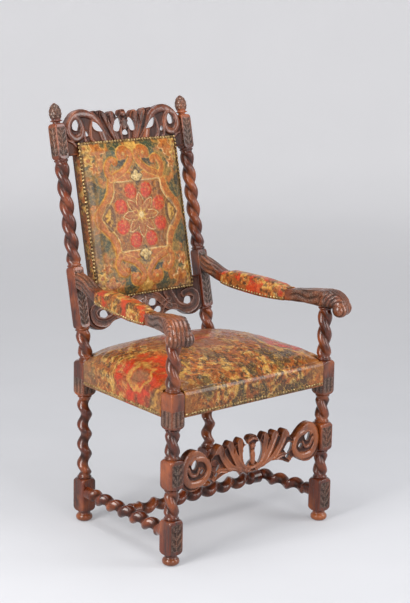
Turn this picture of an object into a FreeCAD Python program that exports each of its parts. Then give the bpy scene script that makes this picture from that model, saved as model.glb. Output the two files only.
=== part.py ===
import FreeCAD, Part
import Sketcher
import math
import os

# High-backed armchair of turned walnut: spirally turned legs, posts and stretchers,
# pierced and carved rails, scrolled arms, and leather over stuffing.
# Millimetres. +Z is up, the sitter faces -Y, left and right are the sitter's own, so the
# right side is at -X. The pieces are made round the middle of the four legs, and moved at
# the end so that the origin is on the floor under the middle of the whole chair.

V = FreeCAD.Vector
doc = FreeCAD.newDocument("armchair")
sheet = doc.addObject("Spreadsheet::Sheet", "dims")

# Driving dimensions, each written once
DRIVING = [
    # The frame: leg axis spacings and the lean of the back
    ("front_width", 600), ("back_width", 504), ("frame_depth", 450),
    ("post_square", 48), ("post_top_square", 38), ("post_top_inset", 5), ("back_rake_angle", 11.8),
    # Lengths along the front legs and the lower back posts, from the floor up
    ("foot_height", 31), ("low_block", 103), ("low_twist", 88), ("middle_block", 87),
    ("middle_twist", 82), ("seat_block", 107), ("arm_seat_height", 664),
    # Lengths along the leaning part of the back posts
    ("short_twist", 94), ("arm_block", 183), ("back_twist", 318), ("crest_block", 106),
    ("finial_length", 61), ("finial_radius", 19),
    # Turning
    ("foot_radius", 25), ("neck_radius", 18), ("shoulder_length", 15),
    ("collar_radius", 21.5), ("collar_length", 7),
    ("strand_radius", 13.8), ("strand_offset", 6.6), ("strand_pitch", 108),
    ("worm_radius", 16), ("worm_offset", 5.5), ("worm_pitch", 61), ("twist_fade", 14),
    # Stretchers
    ("stretcher_height", 90), ("stretcher_tenon_radius", 9), ("stretcher_cone", 26),
    ("cross_tenon_radius", 7), ("tenon_length", 22), ("tenon_thickness", 9),
    ("tenon_shoulder", 9), ("joint_fit", 0.1), ("end_gap", 1), ("soft_gap", 0.3),
    # Carved rails
    ("front_stretcher_low", 209), ("front_stretcher_high", 325),
    ("carved_thickness", 24), ("carved_setback", 9),
    ("crest_low", 603), ("crest_high", 733), ("back_rail_low", 86), ("back_rail_high", 198),
    ("back_frame_thickness", 28), ("relief_depth", 4),
    # Seat frame and seat
    ("rail_thickness", 25), ("rail_height", 62), ("rail_drop", 8),
    ("brace_reach", 72), ("brace_thickness", 22),
    ("leather_thickness", 2), ("leather_hem", 2), ("seat_crown", 73), ("seat_roll", 17),
    ("web_width", 50), ("web_thickness", 1.6), ("cloth_thickness", 1.2),
    # Back panel
    ("panel_width", 386), ("panel_low", 162), ("panel_high", 642), ("stile_width", 34),
    ("panel_edge", 7.5), ("panel_crown", 14), ("side_wrap", 20),
    # Arms
    ("arm_rise", 36), ("arm_depth", 40), ("arm_width", 52), ("arm_edge_round", 8),
    ("scroll_turn_angle", 24), ("scroll_width", 66), ("scroll_rise", 52), ("roll_radius", 21),
    ("roll_reach", 52), ("roll_drop", 3), ("scroll_eye_radius", 15), ("scroll_eye_proud", 4),
    ("arm_pad_crown", 20), ("arm_tenon_width", 16), ("arm_tenon_height", 26),
    # The outer cover's margin, and how far a cutting shape runs past what it cuts
    ("cover_margin", 7), ("overrun", 5),
]
for row, (alias, value) in enumerate(DRIVING, start=1):
    sheet.set(f"A{row}", str(value))
    sheet.setAlias(f"A{row}", alias)
doc.recompute()

# Turned pieces are faceted: directions round a leg and round a stretcher, rings per turn
LEG_SIDES = 12
STRETCHER_SIDES = 10
RINGS_PER_TURN = 6
# Straight chords that stand for one arc of an outline
ARC_CHORDS = 3


def dim(alias):
    return float(sheet.get(alias))


def text(expression):
    """Write the sheet's name before each alias, so that expressions stay short."""
    words = sorted((alias for alias, _ in DRIVING), key=len, reverse=True)
    out, i = "", 0
    while i < len(expression):
        found = next((w for w in words if expression.startswith(w, i)), None)
        if found and (i == 0 or not (expression[i - 1].isalnum() or expression[i - 1] in "_.")):
            out += "dims." + found
            i += len(found)
        else:
            out += expression[i]
            i += 1
    return out


# Places that several pieces share
half = dim("post_square") / 2
top_half = dim("post_top_square") / 2
front_x = dim("front_width") / 2
back_x = dim("back_width") / 2
leg_y = dim("frame_depth") / 2
top_x = back_x - dim("post_top_inset")
rake = math.radians(dim("back_rake_angle"))
low_block_top = dim("foot_height") + dim("low_block")
middle_block_low = low_block_top + dim("low_twist")
middle_block_top = middle_block_low + dim("middle_block")
seat_block_low = middle_block_top + dim("middle_twist")
seat_block_top = seat_block_low + dim("seat_block")
rail_top = seat_block_top - dim("rail_drop")
raked = FreeCAD.Placement(
    V(0, leg_y, seat_block_top), FreeCAD.Rotation(V(1, 0, 0), -dim("back_rake_angle")))
arm_block_low = dim("short_twist")
arm_block_top = arm_block_low + dim("arm_block")
crest_block_low = arm_block_top + dim("back_twist")
crest_block_top = crest_block_low + dim("crest_block")
SIDES = (("right", -1), ("left", 1))

pieces = []


def keep(item, node):
    """Mark a document object as a finished piece; its label names its file."""
    item.Label = node
    pieces.append(item)
    return item


def feature(name, shape, placement=None):
    item = doc.addObject("Part::Feature", name)
    item.Shape = shape
    if placement is not None:
        item.Placement = placement
    return item


def box(name, size, corner, placement=None):
    """A Part box whose three sizes and lowest corner are bound to the sheet."""
    item = doc.addObject("Part::Box", name)
    for prop, value in zip(("Length", "Width", "Height"), size):
        item.setExpression(prop, text(value))
    for axis, value in zip("xyz", corner):
        item.setExpression(f"Placement.Base.{axis}", text(value))
    return item


def fuse(name, parts):
    item = doc.addObject("Part::MultiFuse", name)
    item.Shapes = parts
    return item


def cut(name, base, tool):
    item = doc.addObject("Part::Cut", name)
    item.Base = base
    item.Tool = tool
    return item


def prism_body(name, corners, low, high):
    """A PartDesign body: one closed outline on the floor plane, padded from low to high."""
    body = doc.addObject("PartDesign::Body", name)
    plane = next(f for f in body.Origin.OriginFeatures if f.Role == "XY_Plane")
    sketch = body.newObject("Sketcher::SketchObject", name + "_outline")
    sketch.AttachmentSupport = [(plane, "")]
    sketch.MapMode = "FlatFace"
    sketch.setExpression("AttachmentOffset.Base.z", text(low))
    corners = [(text(x), text(y)) for x, y in corners]
    points = [V(float(sketch.evalExpression(x)), float(sketch.evalExpression(y)), 0) for x, y in corners]
    for i, point in enumerate(points):
        sketch.addGeometry(Part.LineSegment(point, points[(i + 1) % len(points)]))
    for i in range(len(points)):
        sketch.addConstraint(Sketcher.Constraint("Coincident", i, 2, (i + 1) % len(points), 1))
    for i, (x, y) in enumerate(corners):
        for kind, expression, value in (("DistanceX", x, points[i].x), ("DistanceY", y, points[i].y)):
            number = sketch.addConstraint(Sketcher.Constraint(kind, -1, 1, i, 1, value))
            sketch.setExpression(f"Constraints[{number}]", expression)
    pad = body.newObject("PartDesign::Pad", name + "_pad")
    pad.Profile = sketch
    pad.setExpression("Length", text(f"({high}) - ({low})"))
    return body


def arc(a, b, c):
    """The arc through three points, as a few straight edges."""
    inner = Part.Arc(a, b, c).toShape().discretize(Number=ARC_CHORDS + 1)[1:-1]
    points = [a] + inner + [c]
    return [line(start, end) for start, end in zip(points, points[1:])]


def line(a, b):
    return Part.LineSegment(a, b).toShape()


def polygon_prism(points, thrust):
    wire = Part.makePolygon(list(points) + [points[0]])
    return Part.Face(wire).extrude(thrust)


def block_box(x0, x1, y0, y1, z0, z1):
    return Part.makeBox(x1 - x0, y1 - y0, z1 - z0, V(x0, y0, z0))


def moved(shape, vector):
    copy = shape.copy()
    copy.translate(vector)
    return copy


# Turning: a piece is a stack of rings, each an outline read at fixed directions

def ring(z, reach, sides=LEG_SIDES):
    """Points round the Z axis; reach says how far out the outline is in a direction."""
    ways = [2 * math.pi * (i + 0.5) / sides for i in range(sides)]
    return [V(reach(way) * math.cos(way), reach(way) * math.sin(way), z) for way in ways]


def facet_solid(points, facets):
    shape = Part.Shape()
    shape.makeShapeFromMesh((points, facets), dim("soft_gap") / 100)
    return Part.Solid(shape.Shells[0])


def skin_solid(rings):
    """The closed faceted solid through a stack of rings, flat at both ends."""
    sides, points = len(rings[0]), [point for one in rings for point in one]
    facets = []
    for k in range(len(rings) - 1):
        for i in range(sides):
            a, b = k * sides + i, k * sides + (i + 1) % sides
            facets += [(a, b, b + sides), (a, b + sides, a + sides)]
    last = (len(rings) - 1) * sides
    for i in range(1, sides - 1):
        facets += [(0, i + 1, i), (last, last + i, last + i + 1)]
    return facet_solid(points, facets)


def peg(radius, low, high, place=None):
    """A round tenon or its hole, along the Z axis of a placement, with as many sides as a leg."""
    shape = skin_solid([ring(z, lambda way: radius) for z in (low, high)])
    return shape if place is None else shape.transformed(place.Matrix)


def ease(share):
    share = max(0.0, min(1.0, share))
    return share * share * (3 - 2 * share)


def twist_rings(z0, z1, starts, phase=0.0, sides=LEG_SIDES):
    """A spiral of one or two strands that starts and ends as the plain neck."""
    pitch = dim("strand_pitch") if starts == 2 else dim("worm_pitch")
    radius = dim("strand_radius") if starts == 2 else dim("worm_radius")
    offset = dim("strand_offset") if starts == 2 else dim("worm_offset")
    steps = max(4, round(RINGS_PER_TURN * (z1 - z0) / pitch))
    rings = []
    for k in range(steps + 1):
        z = z0 + (z1 - z0) * k / steps
        strength = ease(min(z - z0, z1 - z) / dim("twist_fade"))
        turn = phase - 2 * math.pi * (z - z0) / pitch

        def reach(way):
            lean = way - turn
            along = abs(math.cos(lean)) if starts == 2 else math.cos(lean)
            strand = offset * along + math.sqrt(radius ** 2 - (offset * math.sin(lean)) ** 2)
            return strength * strand + (1 - strength) * dim("neck_radius")

        rings.append(ring(z, reach, sides))
    return rings


# Collars, shoulders, foot and finial: how far along, and how far out
COLLAR_SHARES = ((0, 0), (0.5, 1), (1, 0))
SHOULDER_SHARES = ((0.02, 0.0), (0.16, 0.46), (1.0, 1.0))
FOOT_SHARES = ((0.0, 0.64), (0.16, 0.92), (0.38, 1.0), (0.60, 0.93), (0.78, 0.74), (0.97, 0.76))
FINIAL_SHARES = (
    (0.02, 0.58), (0.09, 0.60), (0.11, 0.95), (0.15, 0.95), (0.19, 0.68), (0.30, 0.90),
    (0.46, 1.0), (0.66, 0.94), (0.82, 0.74), (0.93, 0.44), (1.0, 0.12),
)


def block_rings(z0, z1, side):
    """A square block whose ends are turned down to the neck."""
    neck, rise, corner = dim("neck_radius"), dim("shoulder_length"), side * math.sqrt(2)

    def at(z, limit):
        return ring(z, lambda way: min(side / max(abs(math.cos(way)), abs(math.sin(way))), limit))

    low = [at(z0 + up * rise, neck + out * (corner - neck)) for up, out in SHOULDER_SHARES]
    high = [at(z1 - up * rise, neck + out * (corner - neck)) for up, out in SHOULDER_SHARES]
    return low + high[::-1]


def collar_rings(z0):
    neck, proud = dim("neck_radius"), dim("collar_radius") - dim("neck_radius")
    return [ring(z0 + along * dim("collar_length"), lambda way, out=out: neck + out * proud)
            for along, out in COLLAR_SHARES]


def spun_rings(shares, z0, length, radius):
    return [ring(z0 + along * length, lambda way, out=out: out * radius) for along, out in shares]


def zone_rings(zones, side):
    """Rings for a run of blocks and spirals; a spiral has a collar at each end."""
    collar, rings = dim("collar_length"), []
    for kind, z0, z1 in zones:
        if kind == "block":
            rings += block_rings(z0, z1, side)
        else:
            rings += collar_rings(z0)
            rings += twist_rings(z0 + collar, z1 - collar, 2 if kind == "twin" else 1)[1:-1]
            rings += collar_rings(z1 - collar)
    return rings


def foot_rings():
    return spun_rings(FOOT_SHARES, 0, dim("foot_height"), dim("foot_radius"))


def front_leg_shape():
    zones = [
        ("block", dim("foot_height"), low_block_top),
        ("twin", low_block_top, middle_block_low),
        ("block", middle_block_low, middle_block_top),
        ("twin", middle_block_top, seat_block_low),
        ("block", seat_block_low, seat_block_top),
        ("twin", seat_block_top, dim("arm_seat_height")),
    ]
    shape = skin_solid(foot_rings() + zone_rings(zones, half))
    low = dim("arm_seat_height") - dim("overrun")
    tenon = peg(dim("stretcher_tenon_radius"), low, dim("arm_seat_height") + dim("tenon_length"))
    return shape.fuse(tenon)


def back_post_shape(side):
    """Upright up to the seat block's top, then leaning back with the panel."""
    lower = [
        ("block", dim("foot_height"), low_block_top),
        ("single", low_block_top, seat_block_low),
        ("block", seat_block_low, seat_block_top),
    ]
    upper = [
        ("twin", dim("overrun"), arm_block_low),
        ("block", arm_block_low, arm_block_top),
        ("twin", arm_block_top, crest_block_low),
        ("block", crest_block_low, crest_block_top),
    ]
    leaning = zone_rings(upper, top_half)
    leaning += spun_rings(FINIAL_SHARES, crest_block_top, dim("finial_length"), dim("finial_radius"))
    place = FreeCAD.Placement(V(-side * dim("post_top_inset"), 0, seat_block_top), raked.Rotation)
    leaning = [[place.multVec(point) for point in one] for one in leaning]
    return skin_solid(foot_rings() + zone_rings(lower, half) + leaning)


# Stretchers

def side_line(side):
    """The axis of a side stretcher in plan, from the front leg's axis to the back one's."""
    front = V(side * front_x, -leg_y, dim("stretcher_height"))
    back = V(side * back_x, leg_y, dim("stretcher_height"))
    return front, back


def along(start, end):
    """The placement that takes a piece standing on the origin along the line from start."""
    return FreeCAD.Placement(start, FreeCAD.Rotation(V(0, 0, 1), end - start))


# The coned end of a stretcher, as a share of the neck
STRETCHER_END_SHARE = 1.15


def stretcher_shape(length, tenon_radius, tenon, phase):
    """A spiral stretcher between two coned ends, with a round tenon on each."""
    neck, cone, sides = dim("neck_radius"), dim("stretcher_cone"), STRETCHER_SIDES
    end_radius = neck * STRETCHER_END_SHARE
    rings = [ring(0, lambda way: end_radius, sides)]
    rings += twist_rings(cone, length - cone, 1, phase, sides)
    rings.append(ring(length, lambda way: end_radius, sides))
    return skin_solid(rings).fuse(peg(tenon_radius, -tenon, length + tenon))


def side_slant(side):
    """How far along its line a side stretcher starts, at the face of the leg's block."""
    front, back = side_line(side)
    return half * (back - front).Length / (back.y - front.y)


def side_frame(side):
    """The placement of a side stretcher's line, from the front leg's axis, and its length."""
    front, back = side_line(side)
    return along(front, back), (back - front).Length


def leg_hole(side, at_front):
    """The hole for a side stretcher's tenon in a leg."""
    place, length = side_frame(side)
    deep, shallow = side_slant(side) - dim("tenon_length") - dim("end_gap"), side_slant(side) + half
    span = (deep, shallow) if at_front else (length - shallow, length - deep)
    return peg(dim("stretcher_tenon_radius") + dim("joint_fit"), *span, place)


def side_stretcher(side):
    """It fits between the facing sides of the two leg blocks, cut square to them."""
    place, length = side_frame(side)
    slant, radius, tenon = side_slant(side), dim("stretcher_tenon_radius"), dim("tenon_length")
    place = place.multiply(FreeCAD.Placement(V(0, 0, slant), FreeCAD.Rotation()))
    inner = length - 2 * slant
    shape = stretcher_shape(inner, radius, tenon, 0).transformed(place.Matrix)
    reach = front_x + dim("post_square")
    for y0, y1 in ((-leg_y, half - leg_y), (leg_y - half, leg_y)):
        slab = block_box(-reach, reach, y0, y1, 0, middle_block_low)
        shape = shape.cut(slab.cut(peg(radius, -tenon, inner + tenon, place)))
    return shape.cut(cross_hole(side))


def cross_frame():
    """The placement of the cross stretcher's line, between the side stretchers' middles."""
    right, left = ((side_line(side)[0] + side_line(side)[1]) * 0.5 for side in (-1, 1))
    return along(right, left), (left - right).Length


def cross_hole(side):
    place, length = cross_frame()
    deep = dim("neck_radius") + dim("stretcher_cone") / 2
    span = (0, deep) if side < 0 else (length - deep, length)
    return peg(dim("cross_tenon_radius") + dim("joint_fit"), *span, place)


def cross_stretcher():
    place, length = cross_frame()
    clear = dim("worm_radius") + dim("worm_offset") + dim("soft_gap")
    tenon = clear - dim("end_gap")
    shape = stretcher_shape(length - 2 * clear, dim("cross_tenon_radius"), tenon, math.pi / 2)
    place = place.multiply(FreeCAD.Placement(V(0, 0, clear), FreeCAD.Rotation()))
    return shape.transformed(place.Matrix)


# Carved rails, each an outline of arcs drawn as shares of half its width and of its height

CREST_TOP_SHARES = (
    ((0.00, 0.98), (0.03, 0.97), (0.05, 0.90)), ((0.05, 0.90), (0.09, 0.80), (0.13, 0.86)),
    ((0.13, 0.86), (0.19, 0.96), (0.25, 0.88)), ((0.25, 0.88), (0.28, 0.84), (0.31, 0.91)),
    ((0.31, 0.91), (0.38, 0.99), (0.44, 0.93)), ((0.44, 0.93), (0.48, 0.99), (0.53, 0.94)),
    ((0.53, 0.94), (0.78, 1.01), (1.00, 0.62)),
)
CREST_HOLE_SHARES = (
    (0.81, 0.70, 0.036, 0.090), (0.47, 0.585, 0.045, 0.075), (0.645, 0.47, 0.020, 0.040),
    (0.12, 0.62, 0.036, 0.120), (0.0, 0.44, 0.030, 0.050),
)
FRONT_TOP_SHARES = (
    ((0.00, 1.00), (0.05, 0.98), (0.07, 0.88)), ((0.07, 0.88), (0.10, 0.80), (0.14, 0.95)),
    ((0.14, 0.95), (0.19, 1.00), (0.23, 0.86)), ((0.23, 0.86), (0.27, 0.84), (0.29, 0.95)),
    ((0.29, 0.95), (0.34, 0.98), (0.38, 0.84)), ((0.38, 0.84), (0.41, 0.83), (0.44, 0.93)),
    ((0.44, 0.93), (0.49, 0.95), (0.54, 0.78)), ((0.54, 0.78), (0.60, 0.66), (0.68, 0.80)),
    ((0.68, 0.80), (0.86, 0.96), (1.00, 0.66)),
)
FRONT_LOW_SHARES = (
    ((1.00, 0.16), (0.86, -0.06), (0.70, 0.05)), ((0.70, 0.05), (0.62, 0.14), (0.55, 0.02)),
    ((0.55, 0.02), (0.41, 0.16), (0.28, 0.20)), ((0.28, 0.20), (0.14, 0.10), (0.00, 0.04)),
)
FRONT_HOLE_SHARES = (
    (0.82, 0.62, 0.026, 0.08), (0.53, 0.44, 0.040, 0.10), (0.52, 0.22, 0.018, 0.04),
    (0.085, 0.52, 0.040, 0.20), (0.72, 0.40, 0.02, 0.05),
)
BACK_LOW_SHARES = (
    ((1.00, 0.14), (0.80, -0.06), (0.60, 0.10)), ((0.60, 0.10), (0.42, 0.16), (0.28, 0.04)),
    ((0.28, 0.04), (0.14, -0.02), (0.00, 0.10)),
)
BACK_HOLE_SHARES = ((0.73, 0.35, 0.036, 0.100), (0.105, 0.46, 0.036, 0.090), (0.19, 0.24, 0.032, 0.080))
# The raised scroll at each end of a rail: its centre, and its half sizes
SCROLL_RELIEF_SHARES = {
    "crest": (0.80, 0.68, 0.12, 0.22),
    "front": (0.82, 0.56, 0.12, 0.30),
    "back": (0.73, 0.36, 0.14, 0.24),
}


def arcs(table, side, place):
    """Arcs through triples of shares, for one half of a rail."""
    made = []
    for triple in table:
        made += arc(*(place(side * u, v) for u, v in triple))
    return made


def oval(centre_u, centre_v, half_u, half_v, place, start, thrust):
    """An upright oval prism with eight sides."""
    ways = [math.pi * (2 * i + 1) / 8 for i in range(8)]
    spots = [place(centre_u + half_u * math.cos(w), centre_v + half_v * math.sin(w)) + start for w in ways]
    return polygon_prism(spots, thrust)


def carved_rail(kind, reach, low, high, top_table, low_table, holes, thickness):
    """A pierced rail standing in the XZ plane, its front towards -Y at y = -thickness / 2."""
    height = high - low

    def place(u, v):
        return V(u * reach, -thickness / 2, low + v * height)

    def corner(table, side, last):
        u, v = table[-1][2] if last else table[0][0]
        return place(side * u, v)

    edges = []
    if top_table:
        top_right, top_left = arcs(top_table, -1, place), arcs(top_table, 1, place)
        ends_high = (corner(top_table, -1, True), corner(top_table, 1, True))
    else:
        ends_high = (place(-1, 1), place(1, 1))
        top_right, top_left = [line(place(0, 1), ends_high[0])], [line(place(0, 1), ends_high[1])]
    if low_table:
        low_right, low_left = arcs(low_table, -1, place), arcs(low_table, 1, place)
        ends_low = (corner(low_table, -1, False), corner(low_table, 1, False))
    else:
        ends_low = (place(-1, 0), place(1, 0))
        low_right, low_left = [line(ends_low[0], place(0, 0))], [line(ends_low[1], place(0, 0))]
    edges += top_right + top_left + low_right + low_left
    for i, side in ((0, -1), (1, 1)):
        level_high, level_low = place(side, 0), place(side, 0)
        level_high.z, level_low.z = ends_high[i].z, ends_low[i].z
        path = [ends_high[i], level_high, level_low, ends_low[i]]
        for a, b in zip(path, path[1:]):
            if (b - a).Length > dim("joint_fit") / 10:
                edges.append(line(a, b))
    wire = Part.Wire(Part.__sortEdges__(edges))
    thrust = V(0, thickness, 0)
    shape = Part.Face(wire).extrude(thrust)
    relief = dim("relief_depth")
    u, v, half_u, half_v = SCROLL_RELIEF_SHARES[kind]
    for side in (-1, 1):
        scroll = oval(side * u, v, half_u, half_v, place, V(0, -relief, 0), V(0, relief * 2, 0))
        shape = shape.fuse(scroll)
    tool_start, tool_thrust = V(0, -relief * 2, 0), V(0, thickness + relief * 4, 0)
    for u, v, half_u, half_v in holes:
        for side in ((-1, 1) if u else (1,)):
            shape = shape.cut(oval(side * u, v, half_u, half_v, place, tool_start, tool_thrust))
    return shape


def end_tenons(shape, reach, z0, z1, y_middle):
    """Square tenons on both ends of a rail that runs along X."""
    thick, length = dim("tenon_thickness"), dim("tenon_length")
    for side in (-1, 1):
        x0, x1 = sorted((side * (reach - dim("overrun")), side * (reach + length)))
        shape = shape.fuse(block_box(x0, x1, y_middle - thick / 2, y_middle + thick / 2, z0, z1))
    return shape


def end_mortise(side, reach, z0, z1, y_middle):
    thick, length, fit = dim("tenon_thickness"), dim("tenon_length"), dim("joint_fit")
    x0, x1 = sorted((side * (reach - dim("overrun")), side * (reach + length + dim("end_gap"))))
    return block_box(x0, x1, y_middle - thick / 2 - fit, y_middle + thick / 2 + fit, z0 - fit, z1 + fit)


# Each carved rail's reach, and the two heights of its tenons as shares of its own height
TENON_SHARES = {"front": (0.28, 0.62), "crest": (0.08, 0.50), "back": (0.22, 0.90)}
front_reach = front_x - half
back_reach = top_x - top_half
front_carved_y = -leg_y - half + dim("carved_setback") + dim("carved_thickness") / 2


def tenon_span(kind, low, high):
    return tuple(low + share * (high - low) for share in TENON_SHARES[kind])


front_tenon = tenon_span("front", dim("front_stretcher_low"), dim("front_stretcher_high"))
crest_tenon = tenon_span("crest", dim("crest_low"), dim("crest_high"))
back_tenon = tenon_span("back", dim("back_rail_low"), dim("back_rail_high"))


# Seat frame: places written once, as expressions on the sheet
RAIL_TOP = ("(foot_height + low_block + low_twist + middle_block + middle_twist + seat_block"
            " - rail_drop)")
RAIL_LOW = f"({RAIL_TOP} - rail_height)"
TENON_LOW = f"({RAIL_TOP} - rail_height + tenon_shoulder)"
TENON_TALL = "(rail_height - 2 * tenon_shoulder)"
SKIN = "(leather_thickness + soft_gap)"
FRONT_FACE = "(0 - frame_depth / 2 - post_square / 2)"
FRONT_INNER = "(post_square / 2 - frame_depth / 2)"
BACK_INNER = "(frame_depth / 2 - post_square / 2)"
BACK_FACE = "(frame_depth / 2 + post_square / 2)"
FRONT_TENON_Y = f"({FRONT_FACE} + {SKIN} + rail_thickness / 2)"
BACK_TENON_Y = f"({BACK_FACE} - {SKIN} - rail_thickness / 2)"
FRONT_REACH = "(front_width / 2 - post_square / 2)"
BACK_REACH = "(back_width / 2 - post_square / 2)"
# The seat's side runs from the outer corner of the front block to that of the back block
SIDE_SLOPE = "((front_width - back_width) / 2 / (frame_depth - post_square))"
SIDE_FRONT = f"(front_width / 2 + post_square / 2 - {SKIN})"
SIDE_BACK = f"(back_width / 2 + post_square / 2 - {SKIN})"


def seat_rail_across(name, y_middle, reach):
    """A front or back seat rail with a tenon on each end."""
    rail = box(name + "_rail", (f"2 * {reach}", "rail_thickness", "rail_height"),
               (f"0 - {reach}", f"{y_middle} - rail_thickness / 2", RAIL_LOW))
    parts = [rail]
    for word, start in (("right", f"0 - {reach} - tenon_length"), ("left", f"{reach} - overrun")):
        parts.append(box(f"{name}_tenon_{word}", ("tenon_length + overrun", "tenon_thickness", TENON_TALL),
                         (start, f"{y_middle} - tenon_thickness / 2", TENON_LOW)))
    return fuse(name, parts)


def seat_rail_mortise(name, side, y_middle, reach):
    start = f"{reach} - overrun" if side > 0 else f"0 - {reach} - tenon_length - end_gap"
    return box(name, ("tenon_length + end_gap + overrun", "tenon_thickness + 2 * joint_fit",
                      f"{TENON_TALL} + 2 * joint_fit"),
               (start, f"{y_middle} - tenon_thickness / 2 - joint_fit", f"{TENON_LOW} - joint_fit"))


def side_tenon_x(side, at_front):
    """The middle of a side rail's tenon, across the chair."""
    place = f"({SIDE_FRONT if at_front else SIDE_BACK} - rail_thickness / 2)"
    return place if side > 0 else f"(0 - {place})"


def side_rail(word, side):
    """A side seat rail: a parallelogram in plan, with tenons that run straight back and forward."""
    sign = "" if side > 0 else "0 - "
    corners = [
        (f"{sign}{SIDE_FRONT}", FRONT_INNER), (f"{sign}{SIDE_BACK}", BACK_INNER),
        (f"{sign}({SIDE_BACK} - rail_thickness)", BACK_INNER),
        (f"{sign}({SIDE_FRONT} - rail_thickness)", FRONT_INNER),
    ]
    body = prism_body(f"side_rail_{word}", corners, RAIL_LOW, RAIL_TOP)
    parts = [body]
    for end, at_front, start in (("front", True, f"{FRONT_INNER} - tenon_length"),
                                 ("back", False, f"{BACK_INNER} - overrun")):
        parts.append(box(f"side_rail_{word}_{end}_tenon",
                         ("tenon_thickness", "tenon_length + overrun", TENON_TALL),
                         (f"{side_tenon_x(side, at_front)} - tenon_thickness / 2", start, TENON_LOW)))
    return fuse(f"seat_rail_{word}", parts)


def side_rail_mortise(name, side, at_front):
    start = f"{FRONT_INNER} - tenon_length - end_gap" if at_front else f"{BACK_INNER} - overrun"
    return box(name, ("tenon_thickness + 2 * joint_fit", "tenon_length + end_gap + overrun",
                      f"{TENON_TALL} + 2 * joint_fit"),
               (f"{side_tenon_x(side, at_front)} - tenon_thickness / 2 - joint_fit", start,
                f"{TENON_LOW} - joint_fit"))


def corner_brace(word, side, at_front):
    """A block that ties two seat rails together, notched round the leg's inner corner."""
    sign = "" if side > 0 else "0 - "
    way = 1 if at_front else -1
    leg_x = FRONT_REACH if at_front else BACK_REACH
    leg_inner = FRONT_INNER if at_front else BACK_INNER
    rail_inner = (f"({FRONT_TENON_Y} + rail_thickness / 2)" if at_front
                  else f"({BACK_TENON_Y} - rail_thickness / 2)")
    clear_y = f"({leg_inner} + {way} * end_gap)"
    far_y = f"({leg_inner} + {way} * brace_reach)"

    def rail_x(y):
        return f"({SIDE_FRONT} - rail_thickness - ({y} - {FRONT_INNER}) * {SIDE_SLOPE})"

    corners = [
        (f"{sign}({leg_x} - end_gap)", rail_inner), (f"{sign}({leg_x} - brace_reach)", rail_inner),
        (f"{sign}{rail_x(far_y)}", far_y), (f"{sign}{rail_x(clear_y)}", clear_y),
        (f"{sign}({leg_x} - end_gap)", clear_y),
    ]
    low = f"({RAIL_TOP} - brace_thickness - overrun)"
    return prism_body(f"brace_{word}", corners, low, f"({RAIL_TOP} - overrun)")


# Arms

# Along the arm from the post to the leg's axis; how far out towards the leg; the underside
# as a share of the rise; the wood's depth, its width and the pad's crown
ARM_SHARES = (
    (-0.05, 0.00, 1.36, 1.14, 0.66, 0.06),
    (0.00, 0.00, 1.24, 1.12, 0.68, 0.06),
    (0.10, 0.02, 0.88, 1.00, 0.76, 0.06),
    (0.19, 0.06, 0.56, 0.84, 0.88, 0.12),
    (0.32, 0.14, 0.28, 0.76, 1.00, 0.80),
    (0.53, 0.32, 0.06, 0.76, 1.02, 1.00),
    (0.65, 0.45, 0.02, 0.80, 0.98, 0.66),
    (0.755, 0.58, 0.06, 0.90, 0.94, 0.10),
    (0.86, 0.76, 0.12, 1.00, 1.02, 0.06),
    (1.00, 1.00, 0.05, 1.22, 1.18, 0.06),
)
PAD_SHARE = (0.21, 0.74)
# The scroll's back, the crown of its curve and the shoulder of its front, over the leg
SCROLL_SHARES = ((-0.31, 0.96), (0.35, 1.0), (1.12, 0.70))
NOTCH_SHARE = 0.5
EYE_TOP_SHARE = 0.7


def post_face_y(height):
    """The front face of a leaning post at a height."""
    return leg_y + (height - seat_block_top) * math.tan(rake) - top_half / math.cos(rake)


arm_join_height = dim("arm_seat_height") + dim("arm_rise") + 0.7 * dim("arm_depth")
arm_back_y = post_face_y(arm_join_height)


def arm_place(run, out, side):
    """The middle of the arm in plan, at a share of its run."""
    return V(side * (top_x + out * (front_x - top_x)), arm_back_y - run * (arm_back_y + leg_y), 0)


# Half of the arm's section: how far out, and how far up from the edge's spring to the top
ARM_EDGE_SHARES = ((1.0, 0.0), (0.93, 0.34), (0.72, 0.66), (0.40, 0.92), (0.0, 1.0))


def arm_ring(shares, side, skin, crown):
    """A section of the arm, grown by a skin; the pad's crown stands on its top."""
    run, out, under, deep, wide, pad = shares
    x, y, _ = arm_place(run, out, side)
    low = dim("arm_seat_height") + under * dim("arm_rise")
    wide = wide * dim("arm_width") / 2 + skin
    spring = low + deep * dim("arm_depth") - dim("arm_edge_round") + skin
    rise = dim("arm_edge_round") + crown * pad * dim("arm_pad_crown")
    right = [V(x + wide * a, y, spring + rise * b) for a, b in ARM_EDGE_SHARES]
    left = [V(x - wide * a, y, spring + rise * b) for a, b in ARM_EDGE_SHARES[:-1]]
    return [V(x + wide, y, low)] + right + left[::-1] + [V(x - wide, y, low)]


def arm_form(side, skin, crown):
    return skin_solid([arm_ring(shares, side, skin, crown) for shares in ARM_SHARES])


def pad_slab(grow=0):
    """The stretch of the arm that the pad covers."""
    y0, y1 = arm_place(PAD_SHARE[1], 0, 1).y - grow, arm_place(PAD_SHARE[0], 0, 1).y + grow
    far, high = 2 * front_x, 2 * dim("arm_seat_height")
    return block_box(-far, far, y0, y1, 0, high)


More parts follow.
